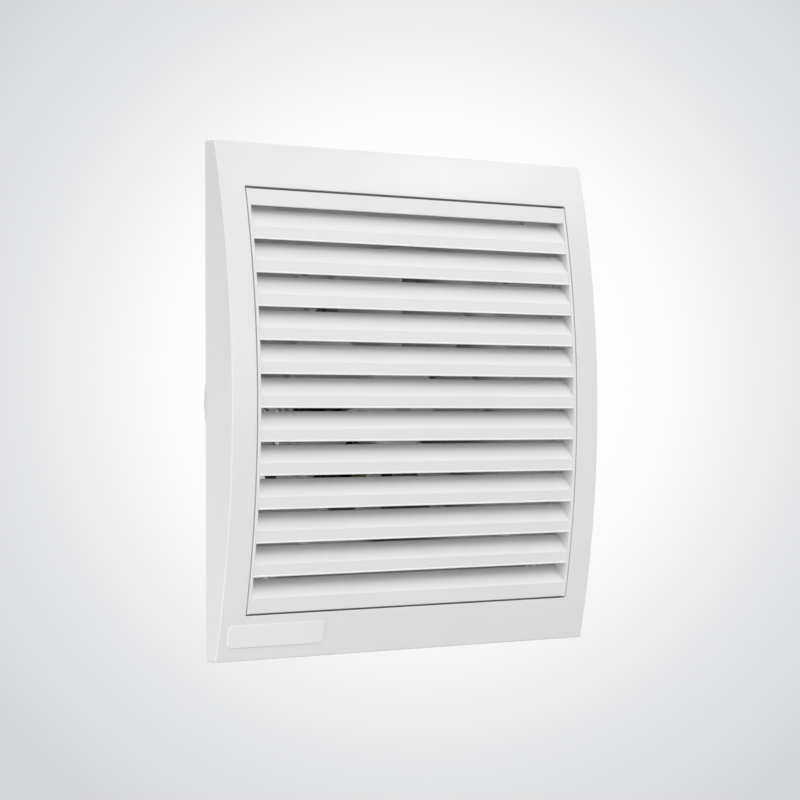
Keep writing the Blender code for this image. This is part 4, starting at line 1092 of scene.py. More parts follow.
@dataclass
class LouvreInsert:
    """The insert: two cheeks, a rim above and below, and eleven slanted blades."""

    bow: Bow = field(default_factory=Bow)
    half_x: float = 0.1089
    top: float = 0.1022
    bottom: float = -0.1024
    first: float = 0.09404
    back: float = -0.0052
    cheek: float = 0.00185
    openings: int = 12
    pitch: float = 0.01625
    opening: float = 0.01017
    wall: float = 0.0015
    run: float = 0.00735
    rise: float = 0.00945
    bead: float = 0.0004
    bead_foot: float = 0.00035
    bead_top: float = 0.00095
    inset: float = 0.0001
    tongue_z: float = 0.045
    tongue_half: float = 0.005
    tongue_length: float = 0.0021
    tongue_corner: float = 0.0008
    tongue_edge: float = 0.0002
    cheek_edge: float = 0.00035
    lip_round: float = 0.0004

    def bar(self, name: str, outline: Sequence[Pair]) -> Piece:
        """A bar that ends inside both cheeks."""
        reach = self.half_x - self.cheek / 2
        return plate(name, [outline], Facing.X, -reach, reach)

    def section(self, lip: float) -> list[Pair]:
        """Outline of a blade about the top of its lip, as Y and Z.

        Args:
            lip: Height of the lip.

        Returns:
            The rounded outline.
        """
        slope = self.rise / (self.run - self.bead)
        drop = self.wall * math.sqrt(1 + slope**2)
        corners = [
            (0.0, -lip), (0.0, self.bead_foot - lip), (self.bead, self.bead_top - lip),
            (self.bead, 0.0), (self.run, self.rise), (self.run, self.rise - drop),
            (self.wall, self.rise - drop - slope * (self.run - self.wall)), (self.wall, -lip),
        ]
        return rounded(corners, self.lip_round, 3)

    def blades(self) -> Piece:
        """Repeats the blade down the insert and sets each blade's lip on the bow.

        Returns:
            All the blades as one mesh.
        """
        blade = self.bar("blade", self.section(self.pitch - self.opening))
        pattern = Pattern("louvre_blades")
        graph = pattern.graph
        here = graph.add("GeometryNodeInputPosition").outputs[0]
        keep = graph.add("GeometryNodeCaptureAttribute")
        keep.capture_items.new("VECTOR", "section")
        graph.feed(keep, {"Geometry": pattern.shape("Blade", blade), 1: here})
        start = (0.0, 0.0, self.first - self.opening)
        row = pattern.row(self.openings - 1, start, (0.0, 0.0, -self.pitch))
        rows = pattern.copies(row, keep.outputs["Geometry"])
        height, above = graph.parts(here)[2], graph.parts(keep.outputs[1])[2]
        anchor = graph.maths("SUBTRACT", height, graph.maths("MAXIMUM", above, 0.0))
        radius = pattern.size("Bow radius", "Float", self.bow.radius - self.inset)
        middle = pattern.size("Bow centre", "Float", self.bow.centre)
        squares = [graph.maths("MULTIPLY", value, value) for value in (radius, anchor)]
        reach = graph.maths("SQRT", graph.maths("SUBTRACT", *squares))
        shift = graph.vector(Y=graph.maths("SUBTRACT", middle, reach))
        bent = graph.add("GeometryNodeSetPosition", {"Geometry": rows, "Offset": shift})
        return pattern.run(bent.outputs["Geometry"], INSERT_WHITE)

    def rims(self) -> list[Piece]:
        """The bars above the first opening and below the last one.

        Returns:
            The upper bar and the lower one.
        """
        bow, inset, wall, first = self.bow, self.inset, self.wall, self.first
        high, low, back = self.top - inset, self.bottom + inset, self.back - inset
        top = [
            (bow.depth(first, inset), first), (bow.depth(high, inset), high),
            (back, high), (back, high - wall),
            (bow.depth(high - wall, inset) + wall, high - wall), (bow.depth(first, inset) + wall, first),
        ]
        last = first - (self.openings - 1) * self.pitch - self.opening
        slope = self.rise / self.run
        drop = wall * math.sqrt(1 + slope**2)
        face = bow.depth(last, inset)
        bottom = [
            (face, last), (face + self.run, last + self.rise),
            (face + self.run, last + self.rise - drop), (face + wall, last + wall * slope - drop),
            (bow.depth(low + wall, inset) + wall, low + wall),
            (back, low + wall), (back, low), (bow.depth(low, inset), low),
        ]
        return [self.bar("rim", rounded(line, self.lip_round * 0.8, 3)) for line in (top, bottom)]

    def cheeks(self) -> Piece:
        """The two side walls, whose front edge follows the bow.

        Returns:
            Both as one mesh.
        """
        steps = 48
        outline = [(self.back, self.top), (self.back, self.bottom)]
        for step in range(steps + 1):
            height = self.bottom + (self.top - self.bottom) * step / steps
            outline.append((self.bow.depth(height), height))
        walls = []
        for side in (-1, 1):
            outer, inner = side * self.half_x, side * (self.half_x - self.cheek)
            walls.append(plate("cheek", [outline], Facing.X, outer, inner, self.cheek_edge))
        return joined("cheeks", walls)

    def tongues(self) -> list[Piece]:
        """The four tongues that hold the insert in the cover's slots.

        Returns:
            The tongues.
        """
        low, high = self.back - self.wall, self.back + self.tongue_length
        outer, inner = self.half_x - self.inset, self.half_x - self.cheek + self.inset
        tongues = []
        for side, z in fours(1, self.tongue_z):
            corners = rectangle((high - low) / 2, self.tongue_half, ((high + low) / 2, z))
            ends = (side * outer, side * inner)
            loops = [rounded(corners, self.tongue_corner)]
            tongues.append(plate("tongue", loops, Facing.X, *ends, self.tongue_edge))
        return tongues

    def build(self) -> None:
        """Builds and dresses the insert."""
        bars = joined("bars", [self.blades(), *self.rims(), *self.tongues()])
        insert = polished(combined(self.cheeks(), mended(bars), Action.ADD))
        dress(insert, "louvre_insert", INSERT_WHITE, "louvre_grille", body="grille")


@dataclass
class DuctHousing:
    """The base plate with its bell mouth, spigot, spider and towers, and the grommet."""

    half: float = 0.1225
    corner: float = 0.0025
    edge: float = 0.0004
    thickness: float = 0.0025
    radius: float = 0.0745
    bore: float = 0.0725
    length: float = 0.064
    mouth: float = 0.0785
    mouth_height: float = 0.0035
    flare: float = 0.0039
    throat: float = 0.001
    rim: float = 0.0005
    stop_width: float = 0.003
    stop_front: float = 0.0578
    stop_back: float = 0.0593
    spider_front: float = 0.0518
    spider_back: float = 0.0558
    spider_ring: float = 0.022
    spider_hole: float = 0.014
    spider_edge: float = 0.0005
    screw_hole: float = 0.0024
    arm: float = 0.006
    tower_x: float = 0.069
    tower_z: float = 0.065
    tower_radius: float = 0.0055
    tower_height: float = 0.005
    pilot_x: float = 0.092
    pilot_z: float = 0.088
    pilot: float = 0.0018
    cable: Pair = (-0.09205, -0.038)
    cable_hole: float = 0.006
    pin_end: float = 0.0313
    sides: int = 112

    def base(self) -> Piece:
        """The flat plate with its holes.

        Returns:
            The plate.
        """
        loops = [rounded(rectangle(self.half, self.half), self.corner, 5)]
        loops.append(circle((self.radius + self.bore) / 2, self.sides))
        loops += [circle(self.pilot, 20, place) for place in fours(self.pilot_x, self.pilot_z)]
        loops.append(circle(self.cable_hole, 36, self.cable))
        return plate("base", loops, Facing.Y, -self.thickness, 0.0, self.edge)

    def spigot(self) -> Piece:
        """The round duct with its bell mouth and the flap's stop ring.

        Returns:
            The duct.
        """
        front, root = -self.thickness - self.mouth_height, -self.thickness / 2
        bore, radius, mouth, length, rim = self.bore, self.radius, self.mouth, self.length, self.rim
        profile = [
            (bore + 0.0002, length), (radius - rim, length), (radius - rim * 0.3, length - rim * 0.3),
            (radius, length - rim), (radius, root), (mouth, root), (mouth, front + 3 * rim),
        ]
        for sine, cosine in quarter(3)[1:]:
            reach = 3 * rim * (1 - cosine) * 0.6
            profile.append((mouth - reach, front + 3 * rim * (1 - sine)))
        for sine, cosine in quarter(10):
            deep = (self.throat - front) * (1 - cosine)
            profile.append((bore + self.flare * (1 - sine), front + deep))
        stop, near, far = bore - self.stop_width, self.stop_front, self.stop_back
        profile += [
            (bore, near - rim), (bore - rim, near), (stop + rim * 0.4, near), (stop, near + rim * 0.4),
            (stop, far - rim * 0.4), (stop + rim * 0.4, far), (bore, far),
        ]
        return lathe("spigot", profile, self.sides, endless=True)

    def spider(self) -> Piece:
        """The ring and arms that carry the motor.

        Returns:
            The spider.
        """
        half, ring = self.arm / 2, self.spider_ring
        reach = (self.radius + self.bore) / 2
        root = math.asin(half / ring)
        outline = []
        for arm in range(4):
            spin = Matrix.Rotation(arm * RIGHT_ANGLE, 2)
            outline += [tuple(spin @ Vector((reach, across))) for across in (-half, half)]
            for step in range(17):
                angle = arm * RIGHT_ANGLE + root + (RIGHT_ANGLE - 2 * root) * step / 16
                outline.append((ring * math.cos(angle), ring * math.sin(angle)))
        loops = [outline, circle(self.spider_hole, 48)]
        loops += [circle(self.screw_hole, 20, place) for place in MOTOR_SCREWS]
        ends = (self.spider_front, self.spider_back)
        return plate("spider", loops, Facing.Y, *ends, self.spider_edge)

    def towers(self) -> Piece:
        """The four screw towers round the mouth, still without their bores.

        Returns:
            The towers as one mesh.
        """
        front, root = -self.thickness - self.tower_height, -self.thickness / 2
        foot = self.tower_radius
        profile = [
            (0.0, front), (foot - 0.0004, front), (foot, front + 0.0004), (foot, root), (0.0, root),
        ]
        places = fours(self.tower_x, self.tower_z)
        return joined("towers", [lathe("tower", profile, 32, place) for place in places])

    def bores(self) -> Piece:
        """The cutters of the towers' bores and of the hinge pin's holes.

        Returns:
            The cutters as one mesh.
        """
        front = -self.thickness - self.tower_height
        profile = [
            (0.0, front - 0.001), (0.0041, front - 0.001), (0.004, front + 0.004),
            (0.0023, front + 0.004), (0.0023, 0.001), (0.0, 0.001),
        ]
        cutters = [lathe("bore", profile, 32, place) for place in fours(self.tower_x, self.tower_z)]
        loops = [circle(PIN_HOLE, 20, HINGE)]
        cutters.append(plate("pin_holes", loops, Facing.X, -self.pin_end, self.pin_end))
        return joined("bores", cutters)

    def grommet(self) -> Piece:
        """The rubber bush where the supply cable comes in.

        Returns:
            The bush.
        """
        profile = [
            (0.0035, -0.0006), (0.0038, -0.0003), (0.0054, -0.0003), (0.0057, -0.0006),
            (0.0057, -0.0028), (0.0078, -0.0028), (0.008, -0.003), (0.008, -0.0037),
            (0.0072, -0.0042), (0.0058, -0.0043), (0.0042, -0.0043), (0.0036, -0.0041),
            (0.0035, -0.0037),
        ]
        return polished(lathe("grommet", profile, 40, self.cable, endless=True))

    def build(self) -> None:
        """Builds and dresses the housing and its grommet."""
        housing = self.base()
        for part in (self.spigot(), self.spider(), self.towers()):
            combined(housing, part, Action.ADD)
        combined(housing, self.bores(), Action.CUT)
        dress(polished(housing, 32.0), "duct_housing_moulding", HOUSING, "duct_housing")
        dress(self.grommet(), "cable_bush", RUBBER, "cable_grommet")


@dataclass
class BackdraughtFlap:
    """The round flap that hangs from its pin behind the stop ring."""

    radius: float = 0.0713
    thickness: float = 0.0015
    front: float = 0.0596
    barrel: float = 0.0022
    barrel_half: float = 0.022
    rib: float = 0.0016
    rib_corner: float = 0.0006
    edge: float = 0.0003
    pin: float = 0.001
    pin_half: float = 0.031
    pin_edge: float = 0.0002

    def disc(self) -> Piece:
        """The disc, cut off straight at the hinge.

        Returns:
            The disc.
        """
        start = math.asin(HINGE[1] / self.radius)
        steps = 88
        rim = []
        for step in range(steps + 1):
            angle = math.pi - start + (math.pi + 2 * start) * step / steps
            rim.append((self.radius * math.cos(angle), self.radius * math.sin(angle)))
        return plate("disc", [rim], Facing.Y, self.front, self.front + self.thickness, self.edge)

    def ribs(self) -> list[Piece]:
        """The upright rib and the crossing one.

        Returns:
            Both ribs.
        """
        low, top = self.front + self.thickness / 2, self.front + self.thickness + self.rib
        half, middle = (top - low) / 2, (top + low) / 2
        reach, high = self.radius * 0.8, HINGE[1] - self.barrel / 2
        upright = rectangle(half, (high + reach) / 2, (middle, (high - reach) / 2))
        crossing = rectangle(reach, half - 0.00005, (0, middle))
        ribs = []
        for outline, facing in ((upright, Facing.X), (crossing, Facing.Z)):
            loops = [rounded(outline, self.rib_corner)]
            ribs.append(plate("rib", loops, facing, -self.rib / 2, self.rib / 2, self.edge))
        return ribs

    def build(self) -> None:
        """Builds and dresses the flap and its pin."""
        flap = self.disc()
        half, end = self.barrel_half, self.pin_half
        barrel = plate("barrel", [circle(self.barrel, 32, HINGE)], Facing.X, -half, half, self.edge)
        for part in (barrel, *self.ribs()):
            combined(flap, part, Action.ADD)
        bore = plate("bore", [circle(PIN_HOLE, 20, HINGE)], Facing.X, -2 * half, 2 * half)
        combined(flap, bore, Action.CUT)
        dress(polished(flap), "flap_moulding", FLAP, "backdraught_flap", body="flap")
        pin = plate("pin", [circle(self.pin, 24, HINGE)], Facing.X, -end, end, self.pin_edge)
        dress(polished(pin), "hinge_pin", SHAFT_STEEL, "flap_pin")


@dataclass
class FanWheel:
    """The seven-bladed impeller with its nut."""

    count: int = 7
    hub: float = 0.024
    hub_wall: float = 0.0018
    front: float = -0.003
    rear: float = 0.017
    nose: float = 0.003
    boss: float = 0.005
    boss_rear: float = 0.014
    recess: float = 0.007
    seat: float = -0.001
    floor: float = 0.001
    bore: float = 0.0023
    chamfer: float = 0.0003
    sink: float = 0.0001
    tip: float = 0.0675
    thickness: float = 0.0016
    edge_share: float = 0.12
    centre: float = 0.0085
    root_chord: float = 0.0225
    tip_chord: float = 0.040
    camber: float = 0.0018
    root_pitch: float = math.radians(40)
    tip_pitch: float = math.radians(24)

    def wheel_hub(self) -> Piece:
        """The hub, open to the rear, with a rounded nose and a boss for the shaft.

        Returns:
            The hub.
        """
        inner, rear, chamfer = self.hub - self.hub_wall, self.rear, self.chamfer
        profile = [(inner, rear), (self.hub - chamfer, rear), (self.hub, rear - chamfer)]
        for sine, cosine in quarter(6):
            radius = self.hub - self.nose * (1 - cosine)
            profile.append((radius, self.front + self.nose * (1 - sine)))
        profile += [
            (self.recess + 0.0004, self.front), (self.recess, self.front + 0.0004),
            (self.recess, self.seat), (self.bore, self.seat), (self.bore, self.boss_rear),
            (self.boss - chamfer, self.boss_rear), (self.boss, self.boss_rear - chamfer),
            (self.boss, self.floor), (inner, self.floor),
        ]
        return lathe("impeller_hub", profile, 72, endless=True)

    def section(self, share: float) -> list[Vector]:
        """One ring round a blade at a share of its span.

        Args:
            share: From 0 at the root to 1 at the tip.

        Returns:
            The ring.
        """
        root = self.hub - self.sink
        radius = root + (self.tip - root) * share
        chord = self.root_chord + (self.tip_chord - self.root_chord) * share
        pitch = self.root_pitch + (self.tip_pitch - self.root_pitch) * share
        steps = 14
        ring = []
        for way in (1, -1):
            for step in range(steps + 1):
                place = way * (step / steps - 0.5)
                edge = min(1.0, math.sqrt(max(0.0, 1 - (2 * abs(place)) ** 6)) + 0.05)
                if step in (0, steps):
                    edge = self.edge_share
                bulge = self.camber * (1 - 4 * place**2) + way * edge * self.thickness / 2
                along = place * chord * math.sin(pitch) + bulge * math.cos(pitch)
                angle = (place * chord * math.cos(pitch) - bulge * math.sin(pitch)) / radius
                x, z = radius * math.cos(angle), radius * math.sin(angle)
                ring.append(Vector((x, self.centre + along, z)))
        return ring

    def blades(self) -> Piece:
        """The seven blades round the hub.

        Returns:
            All the blades as one mesh.
        """
        spans = 12
        blade = loft("fan_blade", [self.section(step / spans) for step in range(spans + 1)])
        pattern = Pattern("fan_blades")
        graph = pattern.graph
        count = pattern.size("Count", "Int", self.count)
        points = graph.add("GeometryNodePoints", {"Count": count}).outputs[0]
        index = graph.add("GeometryNodeInputIndex").outputs[0]
        turn = graph.maths("MULTIPLY", index, graph.maths("DIVIDE", -2 * math.pi, count))
        copies = pattern.copies(points, pattern.shape("Blade", blade), graph.vector(Y=turn))
        return pattern.run(copies, IMPELLER)

    def build(self) -> None:
        """Builds and dresses the impeller and its nut."""
        wheel = mended(combined(self.wheel_hub(), self.blades(), Action.ADD), split=True)
        dress(polished(wheel, 40.0), "fan_wheel", IMPELLER, "impeller", body="fan")
        nut = polished(hexagon_nut(-0.0042, -0.0013), 25.0)
        dress(nut, "wheel_nut", BRASS, "impeller_nut", body="fan")


@dataclass
class ShadedPoleMotor:
    """The small open motor on the spider: stator, coil, rotor, bearings and brackets."""

    stack_front: float = 0.030
    stack_back: float = 0.044
    lamination: float = 0.0005
    sheet: float = 0.00044
    rotor_radius: float = 0.0112
    rotor_bore: float = 0.0024
    overhang: float = 0.0015
    shaft_radius: float = 0.002
    shaft_front: float = -0.0052
    shaft_rear: float = 0.0545
    head_front: float = 0.0561
    screw_front: float = 0.0184
    leg: Pair = (0.037, -0.033)
    winding: Pair = (0.0128, 0.0142)
    winding_half: float = 0.0105
    winding_corner: float = 0.003
    core: Pair = (0.0086, 0.0076)
    core_corner: float = 0.001
    fuse_radius: float = 0.0015
    fuse_half: float = 0.006
    fuse_height: float = -0.049

    def stacked(self, name: str, sheet: Piece, front: float, back: float) -> Piece:
        """Repeats one sheet from front to back.

        Args:
            name: Name of the stack.
            sheet: One lamination with its front at zero, which is removed.
            front: Y of the first sheet's front.
            back: Y of the last sheet's back.

        Returns:
            The stack.
        """
        pattern = Pattern(name)
        count = round((back - front) / self.lamination)
        pitch = (back - front - self.sheet) / (count - 1)
        row = pattern.row(count, (0.0, front, 0.0), (0.0, pitch, 0.0))
        return pattern.run(pattern.copies(row, pattern.shape("Sheet", sheet)), IRON)

    def stator(self) -> Piece:
        """The stator's laminations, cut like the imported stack.

        Returns:
            The stack.
        """
        front, back = self.stack_front, self.stack_back
        flatten = Matrix.Diagonal((1, self.sheet / (back - front), 1, 1))
        sheet = moved(node_copy("stator_stack"), flatten @ Matrix.Translation((0, -front, 0)))
        return self.stacked("stator_laminations", sheet, front, back)

    def rotor(self) -> Piece:
        """The rotor's laminations.

        Returns:
            The stack.
        """
        loops = [circle(self.rotor_radius, 48), circle(self.rotor_bore, 24)]
        sheet = plate("rotor_sheet", loops, Facing.Y, 0.0, self.sheet)
        front, back = self.stack_front - self.overhang, self.stack_back + self.overhang
        return self.stacked("rotor_laminations", sheet, front, back)

    def coil(self) -> Piece:
        """The coil under its wrapped tape, with the step of each turn of tape.

        Returns:
            The coil.
        """
        half_y, half_z = self.winding
        turns = 6
        rings = []
        for turn in range(turns):
            for share, swell in ((0.02, -0.0002), (0.12, 0.0), (0.9, 0.0), (0.98, -0.0001)):
                x = self.winding_half * (2 * (turn + share) / turns - 1)
                flat = rectangle(half_y + swell, half_z + swell, self.leg)
                flat = rounded(flat, self.winding_corner, 5)
                rings.append([Vector((x, y, z)) for y, z in flat])
        inner = rounded(rectangle(*self.core, self.leg), self.core_corner, 5)
        for x in (self.winding_half * 0.97, -self.winding_half * 0.97):
            rings.append([Vector((x, y, z)) for y, z in inner])
        return polished(loft("coil", rings, endless=True), 50.0)

    def fuse(self) -> Piece:
        """The thermal fuse in its sleeve under the coil.

        Returns:
            The fuse.
        """
        radius, half = self.fuse_radius, self.fuse_half
        profile = [
            (0.0, -half), (radius * 0.6, -half), (radius, -half * 0.86), (radius, half * 0.86),
            (radius * 0.6, half), (0.0, half),
        ]
        place = Matrix.Translation((0, self.leg[0], self.fuse_height))
        turn = Matrix.Rotation(-RIGHT_ANGLE, 4, "Z")
        return polished(moved(lathe("fuse", profile, 28), place @ turn))

    def shaft(self) -> Piece:
        """The shaft with chamfered ends and a thread for the nut.

        Returns:
            The shaft.
        """
        radius, front, rear = self.shaft_radius, self.shaft_front, self.shaft_rear
        turns, pitch = 8, 0.0005
        profile = [(0.0, front), (radius * 0.75, front)]
        for turn in range(turns):
            profile.append((radius * 0.88, front + pitch * (turn + 0.6)))
            profile.append((radius, front + pitch * (turn + 1.1)))
        profile += [(radius, rear - 0.0004), (radius * 0.8, rear), (0.0, rear)]
        return polished(lathe("shaft", profile, 40))

    def screws(self) -> Piece:
        """The two long pan-head screws that hold the motor on the spider.

        Returns:
            One piece with both.
        """
        front, tip = self.head_front, self.screw_front
        head = front + 0.0024
        profile = [
            (0.0, tip), (0.0016, tip), (0.002, tip + 0.0004), (0.002, front), (0.0037, front),
            (0.0038, front + 0.0002), (0.0038, front + 0.0011), (0.0035, front + 0.0017),
            (0.0028, front + 0.0022), (0.0018, head), (0.0, head),
        ]
        screw = cross_recess(lathe("motor_screw", profile, 32), head, 1, 0.0019, 0.0012)
        return screw_family("motor_screws", screw, MOTOR_SCREWS, 11)

    def build(self) -> None:
        """Builds and dresses every piece of the motor."""
        dress(self.stator(), "stator_laminations", IRON, "stator_stack")
        dress(self.rotor(), "rotor_laminations", IRON, "rotor_core", body="fan")
        dress(self.shaft(), "shaft", SHAFT_STEEL, "motor_shaft", body="fan")
        # Name, finish, node and body, then outer radius, bore, front and back
        rings = (
            ("washer_front", NYLON, "front_washer", "fan", 0.0035, 0.0023, 0.0276, 0.0282),
            ("washer_rear", NYLON, "rear_washer", "fan", 0.0035, 0.0023, 0.0458, 0.0464),
            ("bush_front", BRONZE, "front_bearing", "housing", 0.004, 0.0021, 0.0215, 0.0273),
            ("bush_rear", BRONZE, "rear_bearing", "housing", 0.004, 0.0021, 0.0467, 0.0525),
        )
        for name, finish, node, body, *sizes in rings:
            dress(turned_ring(*sizes), name, finish, node, body=body)
        # Name, finish, node and reach of the rounds
        copies = (
            ("bracket_front", ALLOY, "front_bearing_bracket", 0.0005),
            ("bracket_rear", ALLOY, "rear_bearing_bracket", 0.0005),
            ("copper_ring_1", COPPER, "shading_ring_1", 0.0003),
            ("copper_ring_2", COPPER, "shading_ring_2", 0.0003),
            ("bobbin", BOBBIN, "coil_bobbin", 0.0004),
        )
        for name, finish, node, width in copies:
            dress(softened(node, width), name, finish, node)
        dress(self.coil(), "wrapped_coil", TAPE, "coil_winding")
        dress(self.fuse(), "fuse_sleeve", NYLON, "thermal_fuse")
        dress(self.screws(), "motor_screws", ZINC, *numbered("motor_screw", 2))
        nuts = joined("motor_nuts", [hexagon_nut(0.0187, 0.0219, x) for x, _ in MOTOR_SCREWS])
        dress(polished(nuts, 25.0), "motor_nuts", ZINC, *numbered("motor_nut", 2))


@dataclass
class Wiring:
    """The terminal block, the cable clamp, their screws and the two motor leads."""

    centre: float = -0.09205
    width: float = 0.016
    half_length: float = 0.011
    back: float = -0.0028
    height: float = 0.0075
    notch: float = 0.0008
    pole: float = 0.0055
    pocket_offset: float = 0.004
    clamp_z: float = -0.020
    clamp_thickness: float = 0.003
    clamp_screw: float = 0.0055
    lead: float = 0.0009
    spacing: float = 0.003

    def places(self) -> list[Pair]:
        """X and Z of the four terminal screws."""
        return [(self.centre + x, z) for x, z in fours(self.pocket_offset, self.pole)]

    def terminal(self) -> Piece:
        """The block with a waist between its poles, its screw pockets and the hole for the screw that
        holds it.

        Returns:
            The block.
        """
        front, back, long, notch = self.back - self.height, self.back, self.half_length, self.notch
        left, right = self.centre - self.width / 2, self.centre + self.width / 2
        outline = [
            (left, -long), (right, -long), (right, -notch), (right - notch, 0.0), (right, notch),
            (right, long), (left, long), (left, notch), (left + notch, 0.0), (left, -notch),
        ]
        block = plate("block", [rounded(outline, 0.0005, 2)], Facing.Y, front, back, 0.0004)
        pocket = [
            (0.0, front - 0.001), (0.00235, front - 0.001), (0.0022, front + 0.0003),
            (0.0022, front + 0.003), (0.0014, front + 0.003), (0.0014, back - 0.0015),
            (0.0, back - 0.0015),
        ]
        cutters = [lathe("pocket", pocket, 28, place) for place in self.places()]
        through = [(0.0, front - 0.001), (0.0014, front - 0.001), (0.0014, 0.001), (0.0, 0.001)]
        cutters.append(lathe("hole", through, 24, (self.centre, 0.0)))
        return polished(combined(block, joined("pockets", cutters), Action.CUT))

    def screws(
        self, name: str, places: Sequence[Pair], seat: float, length: float, seed: int
    ) -> Piece:
        """A family of small slotted pan-head screws.

        Args:
            name: Name of the family.
            places: X and Z of each.
            seat: Y that the heads rest at.
            length: Length of the shank.
            seed: Seed of their turns.

        Returns:
            The screws as one piece.
        """
        head, radius, depth = 0.0014, 0.0018, 0.00055
        profile = [
            (0.0, length), (0.0009, length), (0.0011, length - 0.0004), (0.0011, 0.0), (radius, 0.0),
            (radius, -head * 0.5), (radius * 0.93, -head * 0.78), (radius * 0.7, -head), (0.0, -head),
        ]
        slot = rectangle(radius * 1.2, 0.00022)
        cut = plate("slot", [slot], Facing.Y, -head - depth, depth - head)
        screw = combined(lathe("small_screw", profile, 28), cut, Action.CUT)
        return screw_family(name, screw, places, seed, seat)

    def route(self, side: int) -> list[Vector]:
        """The way of one lead, from the terminal block to the coil.

        Args:
            side: 1 for the upper lead, -1 for the lower one.

        Returns:
            The points of its centre line.
        """
        s = side * self.spacing / 2
        corners = [
            (-0.08375, -0.0072, s), (-0.0764, -0.0075, s), (-0.07294, -0.00622, s),
            (-0.0713, 0.0025, s), (-0.0713, 0.01554, s), (-0.0713, 0.03108, s),
            (-0.0713, 0.0476, s), (-0.0701, 0.04985, s), (-0.0668, 0.0506, s),
            (-0.04635, 0.0506, s), (-0.032, 0.0506, s),
            (-0.0269 + 0.7 * s, 0.0506, 0.7 * s - 0.0009), (-0.026 + s, 0.0497, -0.006),
            (-0.026 + s, 0.0488, -0.0135), (-0.0245 + 0.7 * s, 0.0476, -0.02284 + 0.7 * s),
            (-0.0168, 0.0476, -0.02464 + s), (-0.0123, 0.0476, -0.02464 + s),
        ]
        return smooth_route([Vector(corner) for corner in corners], 8)

    def build(self) -> None:
        """Builds and dresses the wiring."""
        dress(self.terminal(), "terminal_strip", TERMINAL, "terminal_block")
        dress(softened("cable_clamp", 0.0003), "clamp_saddle", TERMINAL, "cable_clamp")
        front, saddle = self.back - self.height, self.back - self.clamp_thickness - 0.0003
        spots = [(self.centre + x, self.clamp_z) for x in (-self.clamp_screw, self.clamp_screw)]
        # Name, places, seat of the heads, length of the shank, seed and nodes
        families = (
            ("pole_screws", self.places(), front + 0.0027, 0.0030, 5, numbered("terminal_screw", 4)),
            ("strip_screw", [(self.centre, 0.0)], front - 0.0003, 0.0078, 7, ["terminal_block_screw"]),
            ("clamp_screws", spots, saddle, 0.0033, 9, numbered("cable_clamp_screw", 2)),
        )
        for name, places, seat, length, seed, nodes in families:
            dress(self.screws(name, places, seat, length, seed), name, ZINC, *nodes)
        for side, node, finish in ((1, "live_lead", BROWN), (-1, "neutral_lead", BLUE)):
            sleeve = polished(tube(node, self.route(side), self.lead))
            dress(sleeve, node.replace("lead", "wire"), finish, node)


